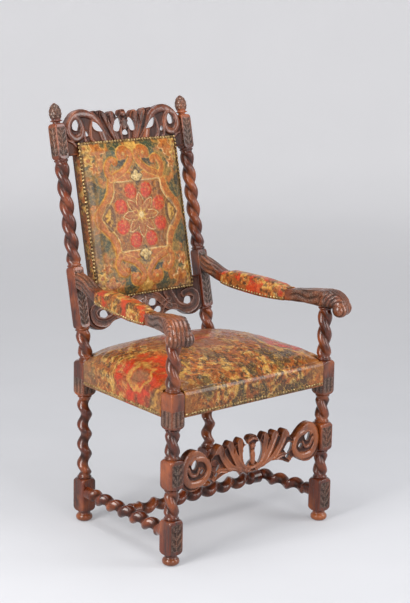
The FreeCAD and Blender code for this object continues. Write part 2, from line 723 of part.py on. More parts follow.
def scroll_face(x):
    """The scroll's side outline: over the leg, down the front, and round the roll."""
    reach, radius, drop = dim("roll_reach"), dim("roll_radius"), dim("roll_drop")
    (back, back_rise), (crown, crown_rise), (shoulder, shoulder_rise) = SCROLL_SHARES
    rise = dim("scroll_rise")
    corner, top = V(x, -back * reach, back_rise * rise), V(x, -crown * reach, crown_rise * rise)
    front, notch = V(x, -reach - radius, -drop), V(x, radius - reach, -drop)
    heel, start = V(x, -NOTCH_SHARE * reach, 0), V(x, -back * reach, 0)
    edges = [line(start, corner), line(corner, top)]
    edges += arc(top, V(x, -shoulder * reach, shoulder_rise * rise), front)
    edges += arc(front, V(x, -reach, -drop - radius), notch)
    return Part.Face(Part.Wire(edges + [line(notch, heel), line(heel, start)]))


def scroll(side):
    """The rolled end of an arm, with an eye on each cheek."""
    width, proud = dim("scroll_width"), dim("scroll_eye_proud")
    shape = scroll_face(-width / 2).extrude(V(width, 0, 0))
    centre = V(0, -dim("roll_reach"), -dim("roll_drop"))
    stack = [(way * (width / 2 + out), share) for way, out, share in (
        (-1, proud, EYE_TOP_SHARE), (-1, 0, 1), (1, 0, 1), (1, proud, EYE_TOP_SHARE))]
    eye = skin_solid([ring(z, lambda way, share=share: share * dim("scroll_eye_radius"))
                      for z, share in stack])
    eye.Placement = FreeCAD.Placement(centre, FreeCAD.Rotation(V(0, 1, 0), 90))
    shape = shape.fuse(eye)
    turn = FreeCAD.Rotation(V(0, 0, 1), side * dim("scroll_turn_angle"))
    shape.Placement = FreeCAD.Placement(V(side * front_x, -leg_y, dim("arm_seat_height")), turn)
    return shape


def behind_post_front():
    """Everything behind the front faces of the posts' arm blocks."""
    far = dim("front_width")
    slab = block_box(-far, far, -top_half, far, 0, crest_block_top)
    slab.Placement = raked
    return slab


def arm_tenon(side, fit, gap):
    """The tenon that holds the arm in the post's front face."""
    wide, tall = dim("arm_tenon_width") / 2 + fit, dim("arm_tenon_height") / 2 + fit
    x, y = side * top_x, arm_back_y
    return block_box(x - wide, x + wide, y - dim("overrun") * 2, y + dim("tenon_length") + gap,
                     arm_join_height - tall, arm_join_height + tall)


def arm_shape(side):
    shape = arm_form(side, 0, 0).cut(behind_post_front())
    shape = shape.fuse([scroll(side), arm_tenon(side, 0, 0)])
    top = FreeCAD.Placement(V(side * front_x, -leg_y, dim("arm_seat_height")), FreeCAD.Rotation())
    return shape.cut(peg(dim("stretcher_tenon_radius") + dim("joint_fit"), -dim("overrun"),
                         dim("tenon_length") + dim("end_gap"), top))


def pad_ring(shares, side):
    """The stuffing's section: flat just over the wood, crowned under the leather."""
    run, out, under, deep, wide, pad = shares
    x, y, _ = arm_place(run, out, side)
    floor = dim("arm_seat_height") + under * dim("arm_rise") + deep * dim("arm_depth") + dim("soft_gap")
    wide = wide * dim("arm_width") / 2 - dim("arm_edge_round") / 2
    crown = pad * dim("arm_pad_crown") - dim("soft_gap")
    right = [V(x + wide * a, y, floor + crown * b) for a, b in ARM_EDGE_SHARES]
    left = [V(x - wide * a, y, floor + crown * b) for a, b in ARM_EDGE_SHARES[:-1]]
    return right + left[::-1]


def arm_pad(side):
    """The arm's stuffing, between its wooden top and the leather."""
    form = skin_solid([pad_ring(shares, side) for shares in ARM_SHARES])
    return form.common(pad_slab(-dim("arm_edge_round")))


def arm_leather(side):
    """The leather over the arm: round the pad and down both sides of the wood."""
    skin = 2 * dim("soft_gap")
    slab = pad_slab()
    outer = arm_form(side, skin + dim("leather_thickness"), 1).common(slab)
    return outer.cut(arm_form(side, skin, 1))


# Seat upholstery

# Along the seat from front to back; how high the crown and the edge roll stand there
SEAT_SHARES = (
    (0.00, 0.12, 0.30), (0.04, 0.25, 0.65), (0.12, 0.48, 1.00), (0.28, 0.80, 1.00),
    (0.50, 1.00, 1.00), (0.72, 0.88, 1.00), (0.90, 0.54, 1.00), (1.00, 0.27, 0.60),
)
ROLL_SHARES = (0.28, 0.62, 0.8)
# Where the crown's section is read, from the roll to the middle
CROWN_SHARES = (1.0, 0.8, 0.6, 0.3, 0.0)
rail_low = rail_top - dim("rail_height")
side_slope = (front_x - back_x) / (dim("frame_depth") - dim("post_square"))


def seat_half_width(y):
    """Half the seat's width outside the leather, which runs from block to block."""
    return front_x + half - (y + leg_y - half) * side_slope


def seat_ring(shares, inset):
    """A section across the seat: rail, edge roll, then the crown as a parabola."""
    run, crown, roll = shares
    y = -leg_y - half + inset + run * 2 * (leg_y + half - inset)
    wide = seat_half_width(y) - inset
    low = rail_low + dim("leather_hem") - inset
    edge = rail_top + dim("leather_thickness")
    top = rail_top + crown * dim("seat_crown") - inset
    out_mid, up_mid, out = (share * dim("seat_roll") for share in ROLL_SHARES)
    high = edge + roll * dim("seat_roll") - inset
    mid = edge + roll * up_mid - inset / 2
    if high > top - inset:
        high, mid = edge + (top - edge) * 0.6, edge + (top - edge) * 0.4
    arch = [V(share * (wide - out), y, top - (top - high) * share ** 2) for share in CROWN_SHARES]
    half_ring = [V(wide, y, low), V(wide, y, edge), V(wide - out_mid, y, mid)] + arch
    return [V(-point.x, y, point.z) for point in half_ring] + half_ring[-2::-1]


def seat_form(inset):
    return skin_solid([seat_ring(shares, inset) for shares in SEAT_SHARES])


def leg_corners(gap):
    """The four corners that the legs stand in, from the floor up, grown by a gap."""
    far = 2 * front_x
    corners = []
    for side in (-1, 1):
        for x_axis, y0, y1 in ((front_x, -far, -leg_y + half + gap), (back_x, leg_y - half - gap, far)):
            x0, x1 = sorted((side * (x_axis - half - gap), side * far))
            corners.append(block_box(x0, x1, y0, y1, 0, crest_block_top))
    return corners


def seat_leather():
    form = seat_form(0).cut(seat_form(dim("leather_thickness")))
    return form.cut(leg_corners(dim("soft_gap")))


def seat_stuffing():
    form = seat_form(dim("leather_thickness") + dim("soft_gap"))
    floor = web_top() + dim("cloth_thickness") + dim("soft_gap")
    far = 2 * front_x
    return form.cut([block_box(-far, far, -far, far, 0, floor)] + leg_corners(2 * dim("soft_gap")))


def web_top():
    return rail_top + 2 * dim("web_thickness")


def seat_plan(inset):
    """The seat's plan inside its leather, drawn in by an inset."""
    y0, y1 = -leg_y - half + inset, leg_y + half - inset
    w0, w1 = seat_half_width(y0) - inset, seat_half_width(y1) - inset
    return [V(-w0, y0, 0), V(w0, y0, 0), V(w1, y1, 0), V(-w1, y1, 0)]


def seat_base_cloth():
    inset = dim("leather_thickness") + dim("rail_thickness") / 3
    cloth = polygon_prism(seat_plan(inset), V(0, 0, dim("cloth_thickness")))
    return moved(cloth, V(0, 0, web_top())).cut(leg_corners(dim("soft_gap")))


WEB_SHARES = (-0.76, -0.38, 0.0, 0.38, 0.76)


def seat_webbing(lengthwise):
    """Straps tacked on the rails: one layer front to back, the other across it."""
    wide, thick = dim("web_width") / 2, dim("web_thickness")
    inset = dim("leather_thickness") + dim("rail_thickness") / 3
    low = rail_top + (0 if lengthwise else thick)
    straps = []
    for share in WEB_SHARES:
        if lengthwise:
            x, y = share * (back_x - half - wide), leg_y + half - inset
            straps.append(block_box(x - wide, x + wide, -y, y, low, low + thick))
        else:
            y = share * (leg_y - half - wide)
            w0, w1 = seat_half_width(y - wide) - inset, seat_half_width(y + wide) - inset
            plan = [V(-w0, y - wide, low), V(w0, y - wide, low), V(w1, y + wide, low), V(-w1, y + wide, low)]
            straps.append(polygon_prism(plan, V(0, 0, thick)))
    return Part.makeCompound(straps)


# Back panel, modelled upright in the leaning posts' own frame, then leaned back with them

PANEL_SHARES = (
    (0.0, 0.0, 0.0), (0.026, 0.0, 0.0), (0.044, 1.0, 0.0), (0.10, 1.0, 0.5), (0.22, 1.0, 0.84),
    (0.50, 1.0, 1.0), (0.78, 1.0, 0.84), (0.90, 1.0, 0.5), (0.956, 1.0, 0.0), (0.974, 0.0, 0.0),
    (1.0, 0.0, 0.0),
)
frame_front = -dim("back_frame_thickness") / 2
skin = dim("leather_thickness") + dim("soft_gap")
panel_tall = dim("panel_high") - dim("panel_low")


def panel_height(share):
    return dim("panel_low") + share * panel_tall


def panel_ring(shares, inset):
    """A level section: square to the frame behind, bevelled and crowned in front."""
    run, rise, crown = shares
    z = panel_height(run)
    wide = dim("panel_width") / 2 - inset
    front = frame_front - skin - rise * (dim("panel_edge") - skin) + inset
    bevel = dim("panel_edge") - skin
    bulge = crown * dim("panel_crown") + dim("joint_fit")
    back = frame_front + dim("side_wrap") + inset
    arch = [V(share * (wide - bevel), front - bulge * (1 - share ** 2), z) for share in CROWN_SHARES]
    half_ring = [V(wide, back, z), V(wide, front + bevel, z)] + arch
    return [V(-point.x, point.y, z) for point in half_ring] + half_ring[-2::-1]


def panel_form(inset):
    return skin_solid([panel_ring(shares, inset) for shares in PANEL_SHARES])


def back_leather():
    """Leather over the panel: round the stiles' sides, and flat on the two rails."""
    gap, far = dim("soft_gap"), front_x
    form = panel_form(0).cut(panel_form(dim("leather_thickness")))
    rails = [
        block_box(-far, far, frame_front - gap, far, 0, dim("back_rail_high") + gap),
        block_box(-far, far, frame_front - gap, far, dim("crest_low") - gap, 2 * dim("crest_high")),
    ]
    return form.cut(rails)


def back_stuffing():
    gap, far = dim("soft_gap"), front_x
    form = panel_form(dim("leather_thickness") + gap)
    floor = frame_front - 2 * dim("web_thickness") - dim("cloth_thickness") - gap
    return form.cut(block_box(-far, far, floor, far, 0, 2 * dim("crest_high")))


BACK_WEB_LOW_SHARE = 0.046


def back_webbing():
    """Three upright straps over four across, tacked on the stiles and the rails."""
    wide, thick = dim("web_width") / 2, dim("web_thickness")
    reach = dim("panel_width") / 2 - dim("stile_width") / 2
    z0, z1 = panel_height(BACK_WEB_LOW_SHARE), panel_height(1 - BACK_WEB_LOW_SHARE)
    straps = []
    for share in (0.2, 0.4, 0.6, 0.8):
        z = panel_height(share)
        straps.append(block_box(-reach, reach, frame_front - thick, frame_front, z - wide, z + wide))
    for share in (-0.5, 0.0, 0.5):
        x = share * reach
        straps.append(block_box(x - wide, x + wide, frame_front - 2 * thick, frame_front - thick, z0, z1))
    return Part.makeCompound(straps)


def back_canvas():
    reach = dim("panel_width") / 2 - dim("stile_width") / 2
    front = frame_front - 2 * dim("web_thickness") - dim("cloth_thickness")
    z0, z1 = panel_height(BACK_WEB_LOW_SHARE), panel_height(1 - BACK_WEB_LOW_SHARE)
    return block_box(-reach, reach, front, front + dim("cloth_thickness"), z0, z1)


def stile(side):
    """An upright of the panel's frame, tenoned into the two rails."""
    thick = dim("back_frame_thickness") / 2
    x0, x1 = stile_span(side)
    body = block_box(x0, x1, -thick, thick, dim("back_rail_high"), dim("crest_low"))
    return body.fuse([stile_tenon(side, up, 0, 0) for up in (False, True)])


def stile_span(side):
    outer = dim("panel_width") / 2 - skin
    return tuple(sorted((side * outer, side * (outer - dim("stile_width")))))


def stile_tenon(side, up, fit, gap):
    x0, x1 = stile_span(side)
    inset, thick = dim("tenon_shoulder") / 2, dim("tenon_thickness") / 2 + fit
    if up:
        z0, z1 = dim("crest_low") - dim("overrun"), dim("crest_low") + dim("tenon_length") + gap
    else:
        z0, z1 = dim("back_rail_high") - dim("tenon_length") - gap, dim("back_rail_high") + dim("overrun")
    return block_box(x0 + inset - fit, x1 - inset + fit, -thick, thick, z0, z1)


def back_outer_cover():
    """The plain leather that closes the panel from behind."""
    reach = dim("panel_width") / 2 - skin
    back = -frame_front
    margin = dim("cover_margin")
    return block_box(-reach, reach, back, back + dim("leather_thickness"),
                     dim("panel_low") + margin, dim("panel_high") - margin)


# Assembly

for word, side in SIDES:
    stub, block = f"{word}_front", f"{word}_back"
    round_front = feature(f"stretcher_hole_{stub}", leg_hole(side, True))
    round_back = feature(f"stretcher_hole_{block}", leg_hole(side, False))
    carved_hole = feature(f"carved_mortise_{word}",
                          end_mortise(side, front_reach, *front_tenon, front_carved_y))
    leg = feature(f"turned_leg_{word}", front_leg_shape(), FreeCAD.Placement(
        V(side * front_x, -leg_y, 0), FreeCAD.Rotation()))
    tools = fuse(f"leg_mortises_{word}", [
        round_front, carved_hole,
        seat_rail_mortise(f"front_rail_mortise_{word}", side, FRONT_TENON_Y, FRONT_REACH),
        side_rail_mortise(f"side_rail_mortise_{stub}", side, True)])
    keep(cut(f"leg_front_{word}", leg, tools), f"front_leg_{word}")

    leaning = [end_mortise(side, back_reach, *span, 0) for span in (back_tenon, crest_tenon)]
    holes = feature(f"leaning_mortises_{word}", Part.makeCompound(leaning), raked)
    arm_hole = feature(f"arm_mortise_{word}", arm_tenon(side, dim("joint_fit"), dim("end_gap")))
    post = feature(f"turned_post_{word}", back_post_shape(side), FreeCAD.Placement(
        V(side * back_x, leg_y, 0), FreeCAD.Rotation()))
    tools = fuse(f"post_mortises_{word}", [
        round_back, holes, arm_hole,
        seat_rail_mortise(f"back_rail_mortise_{word}", side, BACK_TENON_Y, BACK_REACH),
        side_rail_mortise(f"side_rail_mortise_{block}", side, False)])
    keep(cut(f"post_back_{word}", post, tools), f"back_post_{word}")

    keep(feature(f"stretcher_side_{word}", side_stretcher(side)), f"side_stretcher_{word}")
    keep(side_rail(word, side), f"seat_rail_{word}")
    keep(feature(f"stile_{word}", stile(side), raked), f"back_stile_{word}")
    keep(feature(f"arm_wood_{word}", arm_shape(side)), f"arm_{word}")
    keep(feature(f"arm_pad_{word}", arm_pad(side)), f"arm_stuffing_{word}")
    keep(feature(f"arm_skin_{word}", arm_leather(side)), f"arm_leather_{word}")

keep(feature("stretcher_cross", cross_stretcher()), "cross_stretcher")
keep(seat_rail_across("rail_front", FRONT_TENON_Y, FRONT_REACH), "seat_rail_front")
keep(seat_rail_across("rail_back", BACK_TENON_Y, BACK_REACH), "seat_rail_back")
corners = [(word, side, end) for word, side in SIDES for end in ("front", "back")]
braces = [corner_brace(f"{end}_{word}", side, end == "front") for word, side, end in corners]
for body in braces:
    keep(body, "seat_" + body.Name)

carved = carved_rail("front", front_reach, dim("front_stretcher_low"), dim("front_stretcher_high"),
                     FRONT_TOP_SHARES, FRONT_LOW_SHARES, FRONT_HOLE_SHARES, dim("carved_thickness"))
carved = end_tenons(carved, front_reach, *front_tenon, 0)
keep(feature("carved_front", carved, FreeCAD.Placement(V(0, front_carved_y, 0), FreeCAD.Rotation())),
     "front_stretcher")
crest = carved_rail("crest", back_reach, dim("crest_low"), dim("crest_high"),
                    CREST_TOP_SHARES, None, CREST_HOLE_SHARES, dim("back_frame_thickness"))
crest = end_tenons(crest, back_reach, *crest_tenon, 0)
crest = crest.cut([stile_tenon(side, True, dim("joint_fit"), dim("end_gap")) for _, side in SIDES])
keep(feature("carved_crest", crest, raked), "crest_rail")
lower = carved_rail("back", back_reach, dim("back_rail_low"), dim("back_rail_high"),
                    None, BACK_LOW_SHARES, BACK_HOLE_SHARES, dim("back_frame_thickness"))
lower = end_tenons(lower, back_reach, *back_tenon, 0)
lower = lower.cut([stile_tenon(side, False, dim("joint_fit"), dim("end_gap")) for _, side in SIDES])
keep(feature("carved_lower", lower, raked), "lower_back_rail")

keep(feature("webs_long", seat_webbing(True)), "seat_webbing_long")
keep(feature("webs_cross", seat_webbing(False)), "seat_webbing_cross")
keep(feature("hessian", seat_base_cloth()), "seat_base_cloth")
keep(feature("seat_pad", seat_stuffing()), "seat_stuffing")
keep(feature("seat_skin", seat_leather()), "seat_leather")
keep(feature("webs_back", back_webbing(), raked), "back_webbing")
keep(feature("canvas", back_canvas(), raked), "back_base_cloth")
keep(feature("back_pad", back_stuffing(), raked), "back_stuffing")
keep(feature("back_skin", back_leather(), raked), "back_leather")
keep(feature("back_cover", back_outer_cover(), raked), "back_outer_cover")

doc.recompute()
boxes = [item.Shape.optimalBoundingBox(False, False) for item in pieces]
middle_y = (min(b.YMin for b in boxes) + max(b.YMax for b in boxes)) / 2
shift = FreeCAD.Placement(V(0, -middle_y, 0), FreeCAD.Rotation())
for item in pieces:
    item.Placement = shift.multiply(item.Placement)
doc.recompute()
print(f"moved forward by {middle_y:.3f} mm")
os.makedirs("parts", exist_ok=True)
for item in doc.Objects:
    if any(word in item.State for word in ("Invalid", "Error")):
        raise RuntimeError(f"{item.Label} failed: {item.State}")
for item in pieces:
    shape = item.Shape
    if shape.isNull() or not shape.isValid():
        raise RuntimeError(f"{item.Label} is not a valid shape")
for item in pieces:
    item.Shape.exportStep(f"parts/{item.Label}.step")
    print(f"{item.Label}: {len(item.Shape.Solids)} solid(s), {len(item.Shape.Faces)} faces")
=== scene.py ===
import math

import bpy
import numpy as np
from mathutils import Matrix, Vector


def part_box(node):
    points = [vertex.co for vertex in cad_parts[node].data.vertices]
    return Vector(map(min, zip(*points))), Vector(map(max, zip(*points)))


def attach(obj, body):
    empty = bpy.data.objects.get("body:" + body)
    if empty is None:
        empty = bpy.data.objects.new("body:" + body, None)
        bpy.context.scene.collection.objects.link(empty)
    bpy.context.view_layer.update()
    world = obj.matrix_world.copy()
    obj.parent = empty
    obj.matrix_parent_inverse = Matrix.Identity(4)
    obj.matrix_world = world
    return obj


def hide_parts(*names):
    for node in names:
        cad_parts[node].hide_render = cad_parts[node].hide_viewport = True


# High-backed armchair with spiral turnings, carved rails and embossed leather.
# Every shape is worked out in millimetres round the middle of the four legs, as the CAD
# source does, and moved to the frame's origin when its mesh is made. The sitter's left is
# +X and the chair faces -Y.

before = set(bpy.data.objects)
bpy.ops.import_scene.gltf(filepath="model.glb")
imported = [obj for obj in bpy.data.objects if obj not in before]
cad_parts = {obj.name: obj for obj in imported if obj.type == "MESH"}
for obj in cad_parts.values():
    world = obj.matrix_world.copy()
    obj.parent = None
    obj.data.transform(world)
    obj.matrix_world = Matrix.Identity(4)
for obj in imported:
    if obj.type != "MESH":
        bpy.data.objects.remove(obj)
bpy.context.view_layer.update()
scene = bpy.context.scene

MM = 0.001
low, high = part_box("side_stretcher_left")
MIDDLE_Y = (low[1] + high[1]) / 2

# Sizes repeated from the source
FRONT_X, BACK_X, LEG_Y = 300.0, 252.0, 225.0
HALF, TOP_HALF, TOP_INSET = 24.0, 19.0, 5.0
RAKE = math.radians(11.8)
FOOT, SEAT_TOP, ARM_SEAT = 31.0, 498.0, 664.0
NECK, SHOULDER = 18.0, 15.0
COLLAR_RADIUS, COLLAR = 21.5, 7.0
FOOT_RADIUS, FINIAL_RADIUS, FINIAL = 25.0, 19.0, 61.0
TWIN = {"radius": 15.0, "offset": 7.0, "pitch": 108.0, "starts": 2}
WORM = {"radius": 16.8, "offset": 5.9, "pitch": 61.0, "starts": 1}
TWIST_FADE = 14.0
STRETCHER_Z, STRETCHER_CONE = 90.0, 26.0
RAIL_TOP, RAIL_TALL = 490.0, 62.0
LEATHER = 2.0
FRONT_ZONES = (
    ("block", 31, 134), ("twin", 134, 222), ("block", 222, 309), ("twin", 309, 396),
    ("block", 396, 502), ("twin", 502, 664),
)
BACK_ZONES = (("block", 31, 134), ("worm", 134, 391), ("block", 391, 498))
LEANING_ZONES = (("twin", 0, 94), ("block", 94, 277), ("twin", 277, 595), ("block", 595, 701))
FOOT_SHARES = ((0.0, 0.64), (0.16, 0.92), (0.38, 1.0), (0.60, 0.93), (0.78, 0.74), (0.97, 0.76))
FINIAL_SHARES = (
    (0.0, 0.60), (0.09, 0.60), (0.11, 0.95), (0.15, 0.95), (0.19, 0.68), (0.30, 0.90),
    (0.46, 1.0), (0.66, 0.94), (0.82, 0.74), (0.93, 0.44), (1.0, 0.06),
)
SIDES = (("right", -1), ("left", 1))


# Numbers and fields

def ease(share):
    share = np.clip(share, 0.0, 1.0)
    return share * share * (3 - 2 * share)


def step(value, start, end):
    """0 before start, 1 past end, smooth between."""
    return ease((value - start) / (end - start))


def through(points, count=12):
    """A smooth curve through rows of numbers, count samples to a stretch."""
    points = np.asarray(points, float)
    padded = np.vstack([2 * points[0] - points[1], points, 2 * points[-1] - points[-2]])
    t = (np.arange(count) / count)[:, None]
    rows = []
    for a, b, c, d in zip(padded, padded[1:], padded[2:], padded[3:]):
        rows.append(0.5 * (2 * b + (c - a) * t + (2 * a - 5 * b + 4 * c - d) * t ** 2
                           + (3 * b - a - 3 * c + d) * t ** 3))
    return np.vstack(rows + [points[-1:]])


def value_noise(x, y, cell, seed):
    """Smooth random values from 0 to 1, one lattice cell wide."""
    lattice = np.random.default_rng(seed).random((64, 64))
    x, y = x / cell, y / cell
    i, j = np.floor(x).astype(int), np.floor(y).astype(int)
    s, t = ease(x - i), ease(y - j)
    a, b = lattice[i % 64, j % 64], lattice[(i + 1) % 64, j % 64]
    c, d = lattice[i % 64, (j + 1) % 64], lattice[(i + 1) % 64, (j + 1) % 64]
    return (a * (1 - s) + b * s) * (1 - t) + (c * (1 - s) + d * s) * t


def rough_noise(x, y, cell, seed):
    parts = [value_noise(x, y, cell / 2 ** k, seed + k) * 0.5 ** k for k in range(3)]
    return sum(parts) / 1.75


def solid_noise(points, cell, seed):
    """Smooth random values from 0 to 1 in space, in three octaves."""
    total = 0
    for octave in range(3):
        lattice = np.random.default_rng(seed + octave).random((32, 32, 32))
        place = points / (cell / 2 ** octave) + 100
        whole = np.floor(place).astype(int)
        part = ease(place - whole)
        value = 0
        for corner in range(8):
            bits = np.array((corner & 1, corner >> 1 & 1, corner >> 2 & 1))
            weight = np.prod(np.where(bits, part, 1 - part), axis=1)
            i, j, k = ((whole + bits) % 32).T
            value = value + lattice[i, j, k] * weight
        total = total + value * 0.5 ** octave
    return total / 1.75


def stretch(x, y, start, end):
    """How far along a straight stretch points lie, from 0 to 1, and how far from it."""
    (ax, ay), (bx, by) = start, end
    dx, dy = bx - ax, by - ay
    share = np.clip(((x - ax) * dx + (y - ay) * dy) / (dx * dx + dy * dy + 1e-9), 0, 1)
    return share, np.hypot(x - ax - share * dx, y - ay - share * dy)


def stroke(x, y, points, wide0, wide1, fluted=False):
    """Height from 0 to 1 of a raised, tapering rib along a smooth curve, round or hollowed out."""
    line = through(points, 6)
    best = np.zeros_like(x)
    count = len(line) - 1
    for i in range(count):
        share, away = stretch(x, y, line[i], line[i + 1])
        wide = wide0 + (wide1 - wide0) * (i + share) / count
        best = np.maximum(best, 1 - (away / wide) ** 2)
    best = np.clip(best, 0, 1)
    if not fluted:
        return np.sqrt(best)
    across = 1 - best
    lines = 0.5 + 0.5 * np.cos(np.sqrt(across) * 3 * math.pi)
    return np.minimum(np.sqrt(best) * 2.6, 0.42 + 0.5 * across ** 1.5 + 0.2 * lines)


def disc(x, y, cx, cy, rx, ry):
    """Signed distance, roughly, to an ellipse's edge, positive inside."""
    reach = np.hypot((x - cx) / rx, (y - cy) / ry)
    return (1 - reach) * min(rx, ry)


def inside_polygon(x, y, points):
    """Signed distance to a closed outline, positive inside."""
    points = np.asarray(points, float)
    best = np.full(x.shape, 1e9)
    odd = np.zeros(x.shape, bool)
    for (ax, ay), (bx, by) in zip(points, np.roll(points, -1, axis=0)):
        dx, dy = bx - ax, by - ay
        length = dx * dx + dy * dy
        if length < 1e-9:
            continue
        share = np.clip(((x - ax) * dx + (y - ay) * dy) / length, 0, 1)
        best = np.minimum(best, (x - ax - share * dx) ** 2 + (y - ay - share * dy) ** 2)
        if ay != by:
            odd ^= ((ay > y) != (by > y)) & (x < ax + (y - ay) * dx / dy)
    return np.sqrt(best) * np.where(odd, 1, -1)


def soft_min(a, b, blend):
    share = np.clip(0.5 + 0.5 * (b - a) / blend, 0, 1)
    return b * (1 - share) + a * share - blend * share * (1 - share)


def soft_max(a, b, blend):
    return -soft_min(-a, -b, blend)


def surface_net(field, corner, cell):
    """The zero level of a field, positive inside, sampled on a grid: points and quads."""
    size = np.array(field.shape) - 1
    offsets = [(i, j, k) for i in (0, 1) for j in (0, 1) for k in (0, 1)]
    values = [field[i:size[0] + i, j:size[1] + j, k:size[2] + k] for i, j, k in offsets]
    filled = sum((value > 0).astype(np.int8) for value in values)
    active = (filled > 0) & (filled < 8)
    index = np.full(active.shape, -1)
    index[active] = np.arange(active.sum())
    values = [value[active] for value in values]
    total, weight = np.zeros((len(values[0]), 3)), np.zeros((len(values[0]), 1))
    for a, start in enumerate(offsets):
        for b, end in enumerate(offsets):
            if b <= a or sum(abs(p - q) for p, q in zip(start, end)) != 1:
                continue
            cross = (values[a] > 0) != (values[b] > 0)
            share = (values[a][cross] / (values[a][cross] - values[b][cross]))[:, None]
            total[cross] += np.array(start) + share * (np.array(end) - np.array(start))
            weight[cross] += 1
    points = (np.argwhere(active) + total / weight) * cell + np.array(corner)
    quads = []
    for axis in range(3):
        u, v = (axis + 1) % 3, (axis + 2) % 3
        core = [slice(1, -1)] * 3
        core[axis] = slice(None, -1)
        after = list(core)
        after[axis] = slice(1, None)
        first, second = field[tuple(core)] > 0, field[tuple(after)] > 0
        for out, keep in ((True, first & ~second), (False, ~first & second)):
            place = np.argwhere(keep)
            place[:, u] += 1
            place[:, v] += 1
            ring = []
            for du, dv in ((-1, -1), (0, -1), (0, 0), (-1, 0)):
                cells = place.copy()
                cells[:, u] += du
                cells[:, v] += dv
                ring.append(index[cells[:, 0], cells[:, 1], cells[:, 2]])
            ring = np.stack(ring if out else ring[::-1], axis=1)
            quads.append(ring[(ring >= 0).all(axis=1)])
    return points, np.vstack(quads)


def lattice(spans, cell):
    """Grid lines between the ends given for each axis, and the same lines crossed."""
    axes = [np.arange(start, end, cell) for start, end in spans]
    return axes, np.ix_(*axes)


def cells_of(points, axes, cell):
    """The grid cell that each point lies in."""
    return tuple(np.clip(((points[:, n] - axis[0]) / cell).astype(int), 0, len(axis) - 1)
                 for n, axis in enumerate(axes))


# Placing

def leaned(points, x_shift=0.0):
    """From the leaning back's own frame, which stands on the seat blocks, to the chair's."""
    x, y, z = points[..., 0], points[..., 1], points[..., 2]
    return np.stack([x + x_shift, LEG_Y + y * math.cos(RAKE) + z * math.sin(RAKE),
                     SEAT_TOP + z * math.cos(RAKE) - y * math.sin(RAKE)], axis=-1)


def to_frame(points):
    """From millimetres in the legs' frame to metres in the chair's."""
    return np.asarray(points, float) * MM + (0, MIDDLE_Y, 0)


def to_chair(metres):
    return (metres - (0, MIDDLE_Y, 0)) / MM


def linked(name, data):
    thing = bpy.data.objects.new(name, data)
    scene.collection.objects.link(thing)
    return thing


def add_piece(name, points, faces, material, nodes=(), layers=None):
    """A mesh piece from millimetre points in the legs' frame, with named vertex values."""
    mesh = bpy.data.meshes.new(name)
    metres = to_frame(points)
    loops = np.concatenate([part.ravel() for part in faces]).astype(np.int32)
    sizes = np.concatenate([np.full(len(part), part.shape[1]) for part in faces])
    mesh.vertices.add(len(metres))
    mesh.vertices.foreach_set("co", metres.ravel())
    mesh.loops.add(len(loops))
    mesh.loops.foreach_set("vertex_index", loops)
    mesh.polygons.add(len(sizes))
    starts = np.concatenate([[0], np.cumsum(sizes)[:-1]]).astype(np.int32)
    mesh.polygons.foreach_set("loop_start", starts)
    mesh.update(calc_edges=True)
    mesh.polygons.foreach_set("use_smooth", np.full(len(sizes), True))
    for layer, values in (layers or {}).items():
        store(mesh, layer, values)
    mesh.materials.append(material)
    piece = linked(name, mesh)
    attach(piece, "root")
    if nodes:
        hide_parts(*nodes)
    return piece


def store(mesh, layer, values):
    values = np.asarray(values, np.float32)
    if values.ndim == 1:
        mesh.attributes.new(layer, "FLOAT", "POINT").data.foreach_set("value", values)
    else:
        rgba = np.concatenate([values, np.ones((len(values), 1), np.float32)], axis=1)
        mesh.attributes.new(layer, "FLOAT_COLOR", "POINT").data.foreach_set("color", rgba.ravel())


def ring_faces(rings, count):
    """Quads of a stack of closed rings, with both ends closed to a last and a next-to-last point."""
    a = np.arange(rings - 1)[:, None] * count + np.arange(count)
    b = np.arange(rings - 1)[:, None] * count + (np.arange(count) + 1) % count
    quads = np.stack([a, b, b + count, a + count], axis=-1).reshape(-1, 4)
    ring = np.arange(count)
    after, last, pole = (ring + 1) % count, (rings - 1) * count, rings * count
    low_fan = np.stack([np.full(count, pole), after, ring], axis=1)
    high_fan = np.stack([np.full(count, pole + 1), last + ring, last + after], axis=1)
    return [quads, np.vstack([low_fan, high_fan])]


def ring_piece(name, grid, material, nodes=(), layers=None):
    """A closed skin over rings of points, counter-clockwise about the way they are stacked."""
    rings, count = grid.shape[:2]
    poles = np.stack([grid[0].mean(axis=0), grid[-1].mean(axis=0)])
    points = np.vstack([grid.reshape(-1, 3), poles])
    closed = {}
    for layer, values in (layers or {}).items():
        flat = values.reshape((rings * count,) + values.shape[2:])
        closed[layer] = np.concatenate([flat, flat[:1], flat[-1:]])
    return add_piece(name, points, ring_faces(rings, count), material, nodes, closed)


# Materials

COLOUR, VALUE = "NodeSocketColor", "NodeSocketFloat"


def colour(red, green, blue):
    """Linear colour from screen values of 0 to 255."""
    parts = [value / 255 for value in (red, green, blue)]
    return tuple(p / 12.92 if p <= 0.04045 else ((p + 0.055) / 1.055) ** 2.4 for p in parts)


